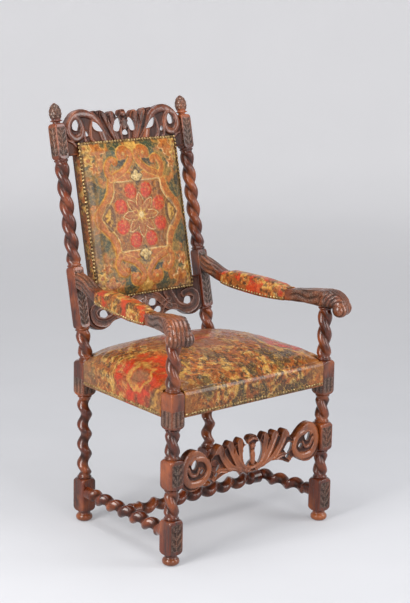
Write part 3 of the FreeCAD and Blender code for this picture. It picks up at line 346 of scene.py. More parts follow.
class Tree:
    """A node tree, with a short call for each kind of node that the finishes share."""

    def __init__(self, tree):
        self.tree = tree

    def put(self, kind, inputs=None, **settings):
        node = self.tree.nodes.new(kind)
        for setting, value in settings.items():
            setattr(node, setting, value)
        self.feed(node, inputs or {})
        return node

    def feed(self, node, inputs):
        """Link a node's input to a socket, or set it to a number."""
        for key, value in inputs.items():
            if isinstance(value, bpy.types.NodeSocket):
                self.tree.links.new(value, node.inputs[key])
            else:
                node.inputs[key].default_value = value

    def place(self):
        return self.put("ShaderNodeTexCoord").outputs["Object"]

    def noise(self, place, scale, detail=4.0, rough=0.5):
        return self.put("ShaderNodeTexNoise", {"Vector": place, "Scale": scale, "Detail": detail,
                                               "Roughness": rough}).outputs[0]

    def sums(self, operation, a, b=0.0):
        return self.put("ShaderNodeMath", {0: a, 1: b}, operation=operation).outputs[0]

    def times(self, a, b):
        return self.sums("MULTIPLY", a, b)

    def mix(self, factor, a, b, blend="MIX"):
        """Two colours mixed, each a socket or three screen values."""
        a, b = (c if isinstance(c, bpy.types.NodeSocket) else (*colour(*c), 1.0) for c in (a, b))
        return self.put("ShaderNodeMix", {0: factor, 6: a, 7: b}, data_type="RGBA",
                        blend_type=blend).outputs[2]

    def span(self, value, from0, from1, to0=0.0, to1=1.0):
        return self.put("ShaderNodeMapRange",
                        {0: value, 1: from0, 2: from1, 3: to0, 4: to1}).outputs[0]

    def relief(self, shader, height, strength, distance):
        bump = self.put("ShaderNodeBump", {"Height": height, "Strength": strength, "Distance": distance})
        self.tree.links.new(bump.outputs[0], shader.inputs["Normal"])


def group_tree(name, takes, gives):
    """An empty node group and what it is given; takes and gives name its sockets and their kinds."""
    tree = Tree(bpy.data.node_groups.new(name, "ShaderNodeTree"))
    for way, sockets in (("INPUT", takes), ("OUTPUT", gives)):
        for label, kind in sockets.items():
            tree.tree.interface.new_socket(label, in_out=way, socket_type=kind)
    return tree, tree.put("NodeGroupInput").outputs


def wood_group():
    """Waxed wood: streaked grain, painted shade in the hollows, a stipple with painted highlight specks
    where carved, and rubbed spots of wear that on raised carving also paint a highlight.
    """
    tree, given = group_tree(
        "Waxed wood", {"Base": COLOUR, "Dark": COLOUR, "Hollow": VALUE, "Carved": VALUE, "Wear_and_highlight": VALUE},
        {"Color": COLOUR, "Roughness": VALUE, "Height": VALUE, "Wax": VALUE})
    place = tree.place()
    along = tree.put("ShaderNodeMapping", {0: place, 3: (60, 60, 6)}).outputs[0]
    streak = tree.noise(along, 1.0, 6.0, 0.66)
    broad, fine = tree.noise(place, 13.0), tree.noise(place, 330.0)
    grain = tree.mix(tree.span(streak, 0.36, 0.66), given["Base"], given["Dark"])
    warm = tree.mix(tree.span(broad, 0.46, 0.68, 0, 0.75), grain, (168, 88, 42))
    # Where carved, a fine speckle whose light specks are painted highlights.
    stipple = tree.mix(tree.span(fine, 0.44, 0.6), (52, 36, 28), (150, 130, 112))
    speckled = tree.mix(tree.times(given["Carved"], 0.5), warm, stipple)
    # Painted shade: the hollows darken towards near black.
    hollow_shade = tree.times(given["Hollow"], tree.span(fine, 0.3, 0.7, 1.0, 0.7))
    shaded = tree.mix(hollow_shade, speckled, (17, 8, 5))
    # Rubbed spots, a lighter orange: wear on the feet, and on raised carving wear with a painted
    # highlight.
    patch = tree.times(given["Wear_and_highlight"], tree.span(broad, 0.36, 0.6, 0.35, 1))
    grit = tree.times(tree.times(given["Carved"], fine), 1.2)
    tree.put("NodeGroupOutput", {
        "Color": tree.mix(patch, shaded, (160, 88, 42)),
        "Roughness": tree.sums("ADD", tree.span(streak, 0.3, 0.7, 0.2, 0.34),
                               tree.times(given["Hollow"], 0.3)),
        "Height": tree.sums("ADD", tree.times(streak, 0.35), grit),
        "Wax": tree.span(given["Hollow"], 0.0, 0.6, 0.6, 0.05)})
    return tree.tree


def leather_group():
    """Old painted leather: mottled colour, fine cracks, paler rubbed patches that are wear and, on the
    back's left edge, a painted sheen, and a pebbled grain.
    """
    tree, given = group_tree("Painted leather", {"Paint": COLOUR, "Rubbed_and_sheen": VALUE},
                             {"Color": COLOUR, "Roughness": VALUE, "Height": VALUE})
    place = tree.place()
    mottle, flakes = tree.noise(place, 95.0, 5.0, 0.7), tree.noise(place, 260.0, 4.0, 0.75)
    broad = tree.noise(place, 14.0, 3.0)
    cells = tree.put("ShaderNodeTexVoronoi", {"Vector": place, "Scale": 190.0},
                     feature="DISTANCE_TO_EDGE").outputs["Distance"]
    tinted = tree.mix(tree.span(mottle, 0.42, 0.6, 0, 0.42), given["Paint"], (96, 70, 44), "MULTIPLY")
    gilt = tree.mix(tree.span(flakes, 0.57, 0.68, 0, 0.45), tinted, (212, 166, 92))
    # Paler, glossier rubbed patches: wear, and on the back's left edge a painted sheen.
    wear_and_highlight = tree.times(given["Rubbed_and_sheen"], tree.span(broad, 0.45, 0.62, 0.25, 1))
    rubbed_and_sheen = tree.mix(wear_and_highlight, gilt, (132, 98, 74))
    cracks = tree.span(cells, 0.0, 0.06, 0.5, 0.0)
    pebbles = tree.sums("SUBTRACT", tree.times(flakes, 0.5), cracks)
    tree.put("NodeGroupOutput", {
        "Color": tree.mix(tree.times(cracks, 0.6), rubbed_and_sheen, (52, 34, 24)),
        "Roughness": tree.sums("SUBTRACT", tree.span(mottle, 0.3, 0.7, 0.3, 0.46),
                               tree.times(wear_and_highlight, 0.08)),
        "Height": tree.sums("ADD", tree.times(mottle, 0.6), pebbles)})
    return tree.tree


def new_material(name):
    material = bpy.data.materials.new(name)
    material.use_nodes = True
    return material, Tree(material.node_tree), material.node_tree.nodes["Principled BSDF"]


def finish(name, group, tones, marks, bump, distance=0.001, waxed=False, numbers=None):
    """A material from a group: tones are its plain colours, marks the vertex values that feed it."""
    material, tree, shader = new_material(name)
    made = tree.put("ShaderNodeGroup", node_tree=group)
    for label, tone in tones.items():
        made.inputs[label].default_value = (*colour(*tone), 1.0)
    for label in marks:
        mark = tree.put("ShaderNodeAttribute", attribute_name=label.lower())
        tree.feed(made, {label: mark.outputs["Color" if label == "Paint" else "Fac"]})
    tree.feed(shader, {"Base Color": made.outputs["Color"], "Roughness": made.outputs["Roughness"]})
    tree.relief(shader, made.outputs["Height"], bump, distance)
    if waxed:
        tree.feed(shader, {"Coat Weight": made.outputs["Wax"]})
    tree.feed(shader, numbers or {})
    return material


def wood_material(name, base, dark, waxed):
    return finish(name, WOOD, {"Base": base, "Dark": dark}, ("Hollow", "Carved", "Wear_and_highlight"), 0.25,
                  waxed=waxed, numbers={"Specular IOR Level": 0.3, "Coat Roughness": 0.16})


def leather_material(name, coat):
    return finish(name, PAINTED, {}, ("Paint", "Rubbed_and_sheen"), 0.35, 0.0012,
                  numbers={"Coat Weight": coat, "Specular IOR Level": 0.2, "Coat Roughness": 0.17})


def brass_material():
    material, tree, shader = new_material("aged brass")
    tarnish = tree.noise(tree.place(), 160.0)
    tree.feed(shader, {
        "Base Color": tree.mix(tree.span(tarnish, 0.38, 0.62), (186, 160, 112), (108, 82, 50)),
        "Roughness": tree.span(tarnish, 0.3, 0.7, 0.24, 0.5), "Metallic": 0.85})
    return material


def woven_material(name, base, shade, threads):
    """Plain weave: two sets of threads that pass over and under each other."""
    material, tree, shader = new_material(name)
    place = tree.place()
    bands = [tree.put("ShaderNodeTexWave", {"Vector": place, "Scale": threads, "Distortion": 0.6,
                                            "Detail": 2.0}, bands_direction=axis).outputs["Fac"]
             for axis in ("X", "Y", "Z")]
    weave = tree.times(tree.sums("ADD", bands[0], bands[2]), bands[1])
    tint = tree.mix(tree.span(weave, 0.1, 1.1), shade, base)
    fuzz = tree.noise(place, 300.0, 3.0)
    tree.feed(shader, {"Base Color": tree.mix(tree.span(fuzz, 0.4, 0.7, 0, 0.4), tint, shade),
                       "Roughness": 0.92})
    tree.relief(shader, weave, 0.5, 0.0008)
    return material


WOOD = wood_group()
PAINTED = leather_group()
wood = wood_material("waxed walnut", (110, 47, 23), (40, 17, 10), True)
plain_wood = wood_material("planed wood", (150, 104, 66), (104, 68, 42), False)
seat_skin = leather_material("painted leather, seat", 0.45)
back_skin = leather_material("painted leather, back", 0.22)
arm_skin = leather_material("painted leather, arms", 0.3)
cover_skin = finish("plain leather", PAINTED, {"Paint": (92, 58, 38)}, (), 0.4)
brass = brass_material()
jute = woven_material("jute webbing", (176, 152, 112), (110, 90, 60), 260.0)
hessian = woven_material("hessian", (188, 166, 126), (126, 104, 72), 330.0)


# Turned pieces. A part of one is a stack of rings: heights, radii, hollows (darkened as painted shade)
# and carved marks.

CARVED_DEPTH = 1.7
POST_SAMPLES, STRETCHER_SAMPLES, POST_CELL = 96, 72, 1.7
JOINED_RINGS = 3


def uneven_angles(count):
    """Directions round a post, closer together near the middles and corners of its faces."""
    turn = np.arange(count) / count * 8 * math.pi
    return (np.arange(count) / count * 2 * math.pi) + math.pi / 4 + 0.10 * np.sin(turn) * 0.5


def twist_radius(way, z, z0, z1, kind, phase=0.0):
    """Radius of a spiral that fades out at both ends, and how deep in its groove each point is."""
    lean = way - phase + 2 * math.pi * (z - z0) / kind["pitch"]
    twin = kind["starts"] == 2
    along = np.abs(np.cos(lean)) if twin else np.cos(lean)
    strand = kind["offset"] * along + np.sqrt(kind["radius"] ** 2 - (kind["offset"] * np.sin(lean)) ** 2)
    strength = ease(np.minimum(z - z0, z1 - z) / TWIST_FADE)
    deepest = 1 - np.abs(along) if twin else (1 - along) / 2
    # The groove depth is the hollow share, which the wood darkens as painted shade.
    return strength * strand + (1 - strength) * NECK, strength * deepest ** 2 * 0.85


def leaf_panel(x, z, half, tall):
    """Low relief on a block's face, 0 on the sunk ground and 1 on the leaf; and the sunk share."""
    edge = np.minimum(half - np.abs(x), np.minimum(z, tall - z) - SHOULDER * 0.55)
    turn = (z / (half * 0.95)) % 1.0
    stem = 1 - np.clip(np.abs(x) / (half * 0.12), 0, 1) ** 2
    wide = half * (0.10 + 0.16 * np.sin(turn * math.pi))
    leaf = np.clip(1 - (np.abs(np.abs(x) - half * (0.15 + 0.62 * turn)) / wide) ** 2, 0, 1)
    return np.maximum(stem, leaf * 0.9), step(edge, half * 0.12, half * 0.22)


def gouge_panel(x, z, half, tall):
    """Upright gouge cuts over a block's lower half."""
    ground = step(tall * 0.52 - z, 0, 3) * step(z, SHOULDER * 0.3, SHOULDER * 0.8)
    sides = step(half - np.abs(x), half * 0.06, half * 0.14)
    return 0.5 + 0.5 * np.cos(x / half * math.pi * 3), ground * sides


# Carved faces of a block, in the order +X, +Y, -X, -Y
PLAIN = (None, None, None, None)
CARVED_FRONT = (None, None, None, leaf_panel)
GOUGED_FRONT = (gouge_panel, None, gouge_panel, gouge_panel)
CARVED_ALL = (leaf_panel, leaf_panel, leaf_panel, leaf_panel)


def block_part(way, z, z0, z1, side, styles):
    """A square block, turned down at its ends, with a carved style for each face."""
    cos, sin = np.abs(np.cos(way)), np.abs(np.sin(way))
    square = side / (cos ** 22 + sin ** 22) ** (1 / 22)
    end = np.clip(np.minimum(z - z0, z1 - z) / SHOULDER, 0, 1)
    limit = NECK + (side * math.sqrt(2) - NECK) * np.sqrt(1 - (1 - end) ** 2)
    hollow, carved, depth = (np.zeros_like(square + z) for _ in range(3))
    for face, style in enumerate(styles):
        if style is None:
            continue
        middle = face * math.pi / 2
        turned = np.arctan2(np.sin(way - middle), np.cos(way - middle)) + 0 * z
        on_face = np.abs(turned) < math.pi / 4
        x = side * np.tan(np.clip(turned, -0.78, 0.78))
        raised, ground = style(x, (z - z0) + 0 * way, side, z1 - z0)
        sunk = np.where(on_face, ground * (1 - raised), 0)
        depth += sunk * CARVED_DEPTH
        # The sunk ground takes a hollow share, darkened as painted shade.
        hollow = np.maximum(hollow, sunk * 0.75)
        carved = np.maximum(carved, np.where(on_face, ground, 0))
    return z, soft_min(square, limit + 0 * way, 1.2) - depth, hollow, carved


def twist_part(way, z, z0, z1, kind):
    """A spiral between two collars."""
    radius, hollow = twist_radius(way, z, z0 + COLLAR, z1 - COLLAR, kind)
    near = np.minimum(z - z0, z1 - z) / COLLAR
    collar = NECK + (COLLAR_RADIUS - NECK) * np.sin(np.clip(near, 0, 1) * math.pi) ** 0.55
    # Collars take a fixed hollow share, a light painted shade.
    return z, np.where(near < 1, collar, radius), np.where(near < 1, 0.25, hollow), 0 * z


def zone_parts(zones, side, styles, way):
    for (kind, z0, z1), style in zip(zones, styles):
        z = np.linspace(z0, z1, max(3, int((z1 - z0) / POST_CELL)))[:, None]
        if kind == "block":
            yield block_part(way, z, z0, z1, side, style)
        else:
            yield twist_part(way, z, z0, z1, TWIN if kind == "twin" else WORM)


def spun_radius(shares, z, z0, length, radius):
    smooth = through(shares, 8)
    return np.interp((z - z0) / length, smooth[:, 0], smooth[:, 1]) * radius


def foot_part():
    z = np.linspace(0, FOOT, int(FOOT / POST_CELL))[:, None]
    radius = spun_radius(FOOT_SHARES, z, 0, FOOT * 0.97, FOOT_RADIUS)
    # A little hollow share, a painted shade, towards the foot's top.
    return z, radius, 0.1 * step(z, FOOT * 0.7, FOOT), 0 * z


def finial_part(way, z0):
    """An acorn finial: a ringed foot, and a bud with overlapping carved leaves."""
    z = np.linspace(z0, z0 + FINIAL, int(FINIAL / POST_CELL))[:, None]
    radius = spun_radius(FINIAL_SHARES, z, z0, FINIAL, FINIAL_RADIUS)
    share = (z - z0) / FINIAL
    bud = step(share, 0.22, 0.3) * (1 - step(share, 0.93, 1.0))
    rows = share * 5.2
    scale = np.abs(np.sin(way * 3.5 + math.pi * np.floor(rows) / 2)) * (1 - (rows % 1.0)) ** 0.5
    cut = bud * (1 - np.clip(scale * 1.5, 0, 1))
    # The cuts round the scales take a hollow share, darkened as painted shade.
    return z, radius - cut * 1.6, cut * 0.7, bud


def stacked(parts, way):
    """The parts one on another: points round the axis, hollows and carved marks."""
    z, radius, hollow, carved = (np.concatenate([rows + 0 * way for rows in kind])
                                 for kind in zip(*parts))
    return np.stack([radius * np.cos(way), radius * np.sin(way), z], axis=-1), hollow, carved


def turned_piece(name, node, grid, hollow, carved):
    wear_and_highlight = 0.85 * (1 - step(grid[..., 2], FOOT * 0.55, FOOT * 0.95))
    ring_piece(name, grid, wood, (node,), {"hollow": hollow, "carved": carved, "wear_and_highlight": wear_and_highlight})


def front_leg(word, side):
    way = uneven_angles(POST_SAMPLES)[None, :]
    styles = (CARVED_FRONT, None, CARVED_FRONT, None, GOUGED_FRONT, None)
    grid, hollow, carved = stacked([foot_part(), *zone_parts(FRONT_ZONES, HALF, styles, way)], way)
    turned_piece(f"leg_front_{word}", f"front_leg_{word}", grid + (side * FRONT_X, -LEG_Y, 0),
                 hollow, carved)


def back_post(word, side):
    way = uneven_angles(POST_SAMPLES)[None, :]
    styles = (PLAIN, None, GOUGED_FRONT), (None, CARVED_FRONT, None, CARVED_ALL)
    lower = stacked([foot_part(), *zone_parts(BACK_ZONES, HALF, styles[0], way)], way)
    upper = stacked([*zone_parts(LEANING_ZONES, TOP_HALF, styles[1], way),
                     finial_part(way, LEANING_ZONES[-1][2])], way)
    straight = lower[0] + (side * BACK_X, LEG_Y, 0)
    leaning = leaned(upper[0], side * (BACK_X - TOP_INSET))
    joined = [np.concatenate([a, b[JOINED_RINGS:]])
              for a, b in ((straight, leaning), (lower[1], upper[1]), (lower[2], upper[2]))]
    turned_piece(f"post_back_{word}", f"back_post_{word}", *joined)


def stretcher(name, node, start, end, phase):
    """A spiral stretcher between two points, coned at both ends."""
    start, end = np.array(start, float), np.array(end, float)
    length = np.linalg.norm(end - start)
    way = (np.arange(STRETCHER_SAMPLES) / STRETCHER_SAMPLES * 2 * math.pi)[None, :]
    z = np.linspace(0, length, int(length / POST_CELL))[:, None]
    radius, hollow = twist_radius(way, z, STRETCHER_CONE, length - STRETCHER_CONE, WORM, phase)
    cone = np.clip(np.minimum(z, length - z) / STRETCHER_CONE, 0, 1)
    coned = (z < STRETCHER_CONE) | (z > length - STRETCHER_CONE)
    radius = np.where(coned, NECK * (1.15 - 0.15 * cone), radius)
    hollow = np.where(coned, 0.0, hollow)
    ahead = (end - start) / length
    across = np.cross((0, 0, 1), ahead)
    across /= np.linalg.norm(across)
    up = np.cross(ahead, across)
    grid = (start + z[..., None] * ahead + (radius * np.cos(way))[..., None] * across
            + (radius * np.sin(way))[..., None] * up)
    ring_piece(name, grid, wood, (node,), {"hollow": hollow, "carved": 0 * hollow})


def all_stretchers():
    for word, side in SIDES:
        front = np.array((side * FRONT_X, -LEG_Y, STRETCHER_Z))
        back = np.array((side * BACK_X, LEG_Y, STRETCHER_Z))
        way = (back - front) / np.linalg.norm(back - front)
        inset = way * (HALF / way[1]) * 0.96
        stretcher(f"stretcher_{word}", f"side_stretcher_{word}", front + inset, back - inset, 0.0)
    reach = (FRONT_X + BACK_X) / 2 - NECK
    stretcher("stretcher_middle", "cross_stretcher", (-reach, 0, STRETCHER_Z),
              (reach, 0, STRETCHER_Z), math.pi / 2)


# Carved boards. Outlines and ribs are shares of half the board's width and of its height. A rib is
# its curve, its width at both ends, its rise and, where it is fluted, a 1.

BOARD_CELL, BOARD_MARGIN, GROUND_DEPTH = 1.6, 8, 5.5
BOARD_Y = -LEG_Y - HALF + 21


def arcs(*points):
    """A chain of arcs, each through three points; every second point joins one arc to the next."""
    t = np.linspace(0, 1, 9)[:-1, None]
    chain = []
    for a, b, c in zip(*(np.array(points[first:], float)[::2] for first in range(3))):
        chain += list(map(tuple, a * (1 - t) * (1 - 2 * t) + 4 * b * t * (1 - t) + c * t * (2 * t - 1)))
    return chain + [points[-1]]


def board_lips(spec, x, v, scale):
    """How far inside the outline and outside the holes each point of a board's face lies."""
    half_outline = np.array(spec["outline"]) * scale
    edge = inside_polygon(x, v, np.vstack([half_outline, (half_outline * (-1, 1))[::-1]]))
    pierced = np.full_like(edge, 99.0)
    for hole in spec["holes"]:
        corners = np.array(hole)
        corners = corners.mean(axis=0) + (corners - corners.mean(axis=0)) * spec["open"]
        shape = through(np.vstack([corners, corners[:1]]) * scale, 6)
        pierced = np.minimum(pierced, -inside_polygon(np.abs(x), v, shape))
    for at, floor, half in spec["notches"]:
        wedge = np.array([(at, floor), (at + half, 1.2), (at - half, 1.2)]) * scale
        edge = np.minimum(edge, -inside_polygon(np.abs(x), v, wedge))
    return edge, pierced


def board_relief(ribs, u, v, scale):
    """Height of the ribs over a board's ground, and the grooves down the middle of fluted ones."""
    relief, veins = np.zeros_like(u), np.zeros_like(u)
    for points, wide0, wide1, rise, *fluted in ribs:
        curve = np.array(points) * scale
        relief = np.maximum(relief, stroke(u, v, curve, wide0, wide1, bool(fluted)) * rise * 1.55)
        if fluted:
            groove = stroke(u, v, curve, wide0 * 0.16, wide1 * 0.16)
            relief = relief - 0.9 * groove
            veins = np.maximum(veins, groove * 0.6)
    return relief, veins


def carved_board(name, node, spec, reach, place):
    """A pierced board: its outline less its holes, with ribs and leaves raised on its front."""
    low, high, thick = spec["span"]
    tall = high - low
    scale = np.array((reach, tall))
    x = np.arange(-reach, reach + BOARD_CELL * 0.5, BOARD_CELL)
    y = np.arange(-thick / 2 - BOARD_MARGIN, thick / 2 + 3.2, BOARD_CELL)
    z = np.arange(low - BOARD_MARGIN, high + BOARD_MARGIN, BOARD_CELL)
    flat_x, flat_z = np.meshgrid(x, z, indexing="ij")
    edge, pierced = board_lips(spec, flat_x, flat_z - low, scale)
    relief, veins = board_relief(spec["ribs"], np.abs(flat_x), flat_z - low, scale)
    lip = np.minimum(edge, pierced)
    rim = 3.2 * step(4.5 - lip, 0, 2) * step(lip, -1, 1)
    spots = rough_noise(flat_x, flat_z, 6.0, 11) - 0.5
    surface = np.maximum(relief, rim) + spots * 0.7
    ground = 1 - step(surface, 1.0, 4.5)
    across = y[None, :, None]
    front = (thick / 2 - GROUND_DEPTH + surface)[:, None, :] + across
    undercut = spec["undercut"] * np.maximum(across + thick / 2 - 4, 0)
    sides = np.minimum(edge[:, None, :] + 0 * undercut, pierced[:, None, :] - undercut)
    field = soft_min(np.minimum(front, thick / 2 - across), sides, 2.5)
    field[[0, -1]] = -1
    points, quads = surface_net(field, (x[0], y[0], z[0]), BOARD_CELL)
    i, _, k = cells_of(points, (x, y, z), BOARD_CELL)
    on_front = points[:, 1] < 0
    # Hollow share, which the wood darkens as painted shade: the sunk ground and veins in front, and a
    # little on the sides, the back and the walls of the holes.
    hollow = np.where(on_front, np.clip(ground[i, k] * 0.8 + veins[i, k] * 0.5, 0, 1), 0.25)
    stippled = spec["stippled"]((flat_z - low) / tall) * (1 - ground)
    carved = np.where(on_front, stippled[i, k], 0.1)
    # Rubbed share on the raised front carving: wear, and a painted highlight.
    wear_and_highlight = np.where(on_front, spec["rubbed_and_sheen"] * (1 - ground[i, k]), 0.0)
    add_piece(name, place(points), [quads], wood, (node,),
              {"hollow": hollow, "carved": carved, "wear_and_highlight": wear_and_highlight})


CREST = {
    "span": (603, 733, 28),
    "outline": [(1.0, 0.0), (1.0, 0.62)] + arcs(
        (1.00, 0.62), (0.78, 1.02), (0.53, 0.94), (0.48, 0.99), (0.44, 0.93), (0.38, 0.99),
        (0.31, 0.91), (0.28, 0.84), (0.25, 0.88), (0.19, 0.96), (0.13, 0.86), (0.09, 0.80),
        (0.05, 0.90), (0.03, 0.97), (0.00, 0.98)),
    "holes": [
        [(0.775, 0.70), (0.80, 0.79), (0.845, 0.72), (0.85, 0.61), (0.80, 0.58)],
        [(0.39, 0.50), (0.45, 0.52), (0.50, 0.58), (0.515, 0.72), (0.45, 0.66)],
        [(0.625, 0.44), (0.65, 0.52), (0.665, 0.46), (0.65, 0.42)],
        [(0.075, 0.62), (0.09, 0.76), (0.15, 0.68), (0.165, 0.52), (0.11, 0.50)],
        [(-0.035, 0.42), (0.0, 0.50), (0.035, 0.42), (0.0, 0.39)],
    ],
    "ribs": [
        ([(0.34, 0.22), (0.42, 0.62), (0.52, 0.86), (0.66, 0.94), (0.80, 0.92), (0.91, 0.78),
          (0.94, 0.55), (0.86, 0.38), (0.75, 0.42), (0.71, 0.58), (0.74, 0.76), (0.80, 0.86)],
         14, 9, 4.4),
        ([(0.22, 0.18), (0.34, 0.44), (0.43, 0.78)], 8, 5, 3.6, 1),
        ([(0.52, 0.22), (0.58, 0.36), (0.57, 0.60), (0.53, 0.76)], 8, 4, 4.0),
        ([(0.62, 0.20), (0.68, 0.32), (0.68, 0.50)], 8, 4, 3.6),
        ([(0.15, 0.20), (0.24, 0.52), (0.34, 0.90)], 7, 9, 4.6, 1),
        ([(0.13, 0.22), (0.19, 0.56), (0.21, 0.90)], 6, 8, 4.4, 1),
        ([(0.06, 0.22), (0.07, 0.46), (0.06, 0.60)], 5, 5, 3.4),
        ([(0.0, 0.52), (0.02, 0.62), (0.0, 0.74)], 8, 6, 4.6),
        ([(-0.01, 0.86), (0.0, 0.875), (0.01, 0.86)], 7.5, 7.5, 5.2),
        ([(0.0, 0.72), (0.06, 0.70), (0.09, 0.80)], 4, 3, 4.2),
        ([(0.84, 0.20), (0.90, 0.30), (0.96, 0.34)], 6, 4, 2.8),
    ],
    "notches": [(0.275, 0.60, 0.020), (0.118, 0.74, 0.014), (0.405, 0.72, 0.016)],
    "open": (1.4, 1.12), "undercut": 0.62,
    "stippled": lambda v: 0.25 * step(v, 0.2, 0.34), "rubbed_and_sheen": 0.1,
}
FRONT = {
    "span": (209, 325, 24),
    "outline": arcs(
        (0.00, 0.04), (0.14, 0.10), (0.28, 0.20), (0.41, 0.16), (0.55, 0.02), (0.62, 0.14),
        (0.70, 0.05), (0.86, -0.06), (1.00, 0.16)) + arcs(
        (1.00, 0.66), (0.86, 0.98), (0.68, 0.80), (0.60, 0.66), (0.54, 0.78), (0.49, 0.95),
        (0.44, 0.93), (0.41, 0.83), (0.38, 0.84), (0.34, 0.98), (0.29, 0.95), (0.27, 0.84),
        (0.23, 0.86), (0.19, 1.00), (0.14, 0.95), (0.10, 0.80), (0.07, 0.88), (0.05, 0.98),
        (0.00, 1.00)),
    "holes": [
        [(0.795, 0.62), (0.815, 0.70), (0.845, 0.66), (0.84, 0.55), (0.81, 0.54)],
        [(0.49, 0.42), (0.53, 0.53), (0.57, 0.50), (0.56, 0.38), (0.52, 0.34)],
        [(0.50, 0.22), (0.52, 0.27), (0.54, 0.24), (0.52, 0.18)],
        [(0.045, 0.42), (0.06, 0.70), (0.11, 0.70), (0.125, 0.50), (0.09, 0.32)],
        [(0.70, 0.40), (0.72, 0.45), (0.74, 0.41), (0.72, 0.36)],
    ],
    "ribs": [
        ([(0.50, 0.84), (0.64, 0.84), (0.80, 0.90), (0.92, 0.74), (0.96, 0.44), (0.88, 0.14),
          (0.70, 0.14), (0.62, 0.38), (0.66, 0.64), (0.76, 0.74), (0.87, 0.68)], 15, 9, 5.0),
        ([(0.90, 0.52), (0.86, 0.36), (0.79, 0.34), (0.755, 0.48)], 7, 4, 3.8),
        ([(0.10, 0.08), (0.20, 0.34), (0.28, 0.66), (0.33, 0.90)], 11, 13, 5.0, 1),
        ([(0.06, 0.14), (0.15, 0.46), (0.18, 0.70), (0.19, 0.92)], 9, 11, 4.6, 1),
        ([(0.13, 0.08), (0.30, 0.28), (0.42, 0.60), (0.47, 0.86)], 11, 12, 5.0, 1),
        ([(0.20, 0.14), (0.36, 0.24), (0.47, 0.28), (0.56, 0.12)], 8, 6, 4.0, 1),
        ([(0.0, 0.16), (0.08, 0.22), (0.14, 0.50), (0.09, 0.82), (0.0, 0.92)], 5.5, 5, 4.2),
        ([(0.0, 0.30), (0.015, 0.46), (0.0, 0.60)], 9, 6, 5.0),
        ([(-0.01, 0.72), (0.0, 0.735), (0.01, 0.72)], 8, 8, 5.6),
        ([(0.0, 0.56), (0.04, 0.50), (0.07, 0.60)], 4, 3, 4.4),
    ],
    "notches": [(0.415, 0.60, 0.018), (0.262, 0.56, 0.018), (0.60, 0.52, 0.022)],
    "open": (1.5, 1.35), "undercut": 0.6,
    "stippled": lambda v: 0.1 + 0 * v, "rubbed_and_sheen": 0.75,
}
LOWER = {
    "span": (86, 198, 28),
    "outline": arcs((0.00, 0.10), (0.14, -0.02), (0.28, 0.04), (0.42, 0.16), (0.60, 0.10),
                    (0.80, -0.06), (1.00, 0.14)) + [(1.0, 1.0)],
    "holes": [
        [(0.70, 0.30), (0.72, 0.44), (0.76, 0.42), (0.765, 0.30), (0.73, 0.25)],
        [(0.07, 0.42), (0.10, 0.55), (0.14, 0.50), (0.13, 0.38), (0.09, 0.37)],
        [(0.155, 0.22), (0.19, 0.31), (0.22, 0.26), (0.21, 0.17), (0.17, 0.16)],
    ],
    "ribs": [
        ([(0.40, 0.66), (0.54, 0.24), (0.70, 0.12), (0.86, 0.20), (0.90, 0.44), (0.80, 0.58),
          (0.68, 0.54)], 19, 12, 3.0, 1),
        ([(0.04, 0.70), (0.22, 0.56), (0.36, 0.30), (0.50, 0.22)], 16, 10, 3.6, 1),
        ([(0.0, 0.20), (0.03, 0.40), (0.0, 0.62)], 11, 9, 3.8),
        ([(0.24, 0.16), (0.30, 0.34), (0.42, 0.46)], 11, 8, 3.2, 1),
    ],
    "notches": [], "open": (2.0, 1.0), "undercut": 0.7,
    "rubbed_and_sheen": 0.2, "stippled": lambda v: 0.6 * (1 - step(v, 0.6, 0.75)),
}


def all_boards():
    reach = BACK_X - TOP_INSET - TOP_HALF
    carved_board("stretcher_front", "front_stretcher", FRONT, FRONT_X - HALF,
                 lambda points: points + (0, BOARD_Y, 0))
    carved_board("rail_crest", "crest_rail", CREST, reach, leaned)
    carved_board("rail_back_low", "lower_back_rail", LOWER, reach, leaned)


# Arms

# Shares of the arm's length, then of its swing out, rise, depth, half width and pad
ARM_SHARES = (
    (-0.05, 0.00, 1.36, 1.14, 0.66, 0.06), (0.00, 0.00, 1.24, 1.12, 0.68, 0.06),
    (0.10, 0.02, 0.88, 1.00, 0.76, 0.06), (0.19, 0.06, 0.56, 0.84, 0.88, 0.12),
    (0.32, 0.14, 0.28, 0.76, 1.00, 0.80), (0.53, 0.32, 0.06, 0.76, 1.02, 1.00),
    (0.65, 0.45, 0.02, 0.80, 0.98, 0.66), (0.755, 0.58, 0.06, 0.90, 0.94, 0.10),
    (0.86, 0.76, 0.12, 1.00, 1.02, 0.06), (1.00, 1.00, 0.05, 1.22, 1.18, 0.06),
)
ARM_TABLE = through(ARM_SHARES, 12)
ARM_RISE, ARM_DEPTH, ARM_HALF, ARM_ROUND, PAD_CROWN = 36.0, 40.0, 26.0, 8.0, 20.0
# Padding from the first to the second share of the arm's length
PAD_SPAN = (0.21, 0.74)
ARM_BACK_Y = (LEG_Y + (ARM_SEAT + ARM_RISE + 0.7 * ARM_DEPTH - SEAT_TOP) * math.tan(RAKE)
              - TOP_HALF / math.cos(RAKE))
ARM_REACH = ARM_BACK_Y + LEG_Y
ARM_CELL, PROFILE_CELL = 1.8, 1.5
SCROLL_TURN, SCROLL_HALF, SCROLL_SOFT = math.radians(24), 33.0, 16.0
ROLL_REACH, ROLL_DROP, ROLL_RADIUS = 52.0, 3.0, 21.0


def arm_numbers(run):
    """Along the arm: middle x, underside z, depth, half width and the pad's crown."""
    out, under, deep, wide, pad = (np.interp(run, ARM_TABLE[:, 0], ARM_TABLE[:, i]) for i in range(1, 6))
    top_x = BACK_X - TOP_INSET
    return (top_x + out * (FRONT_X - top_x), ARM_SEAT + under * ARM_RISE, deep * ARM_DEPTH,
            wide * ARM_HALF, pad * PAD_CROWN)


def arm_leaf(run):
    """Where the wood has carved leaves: at both ends of the arm."""
    return np.maximum(1 - step(run, 0.12, 0.2), step(run, 0.76, 0.8))


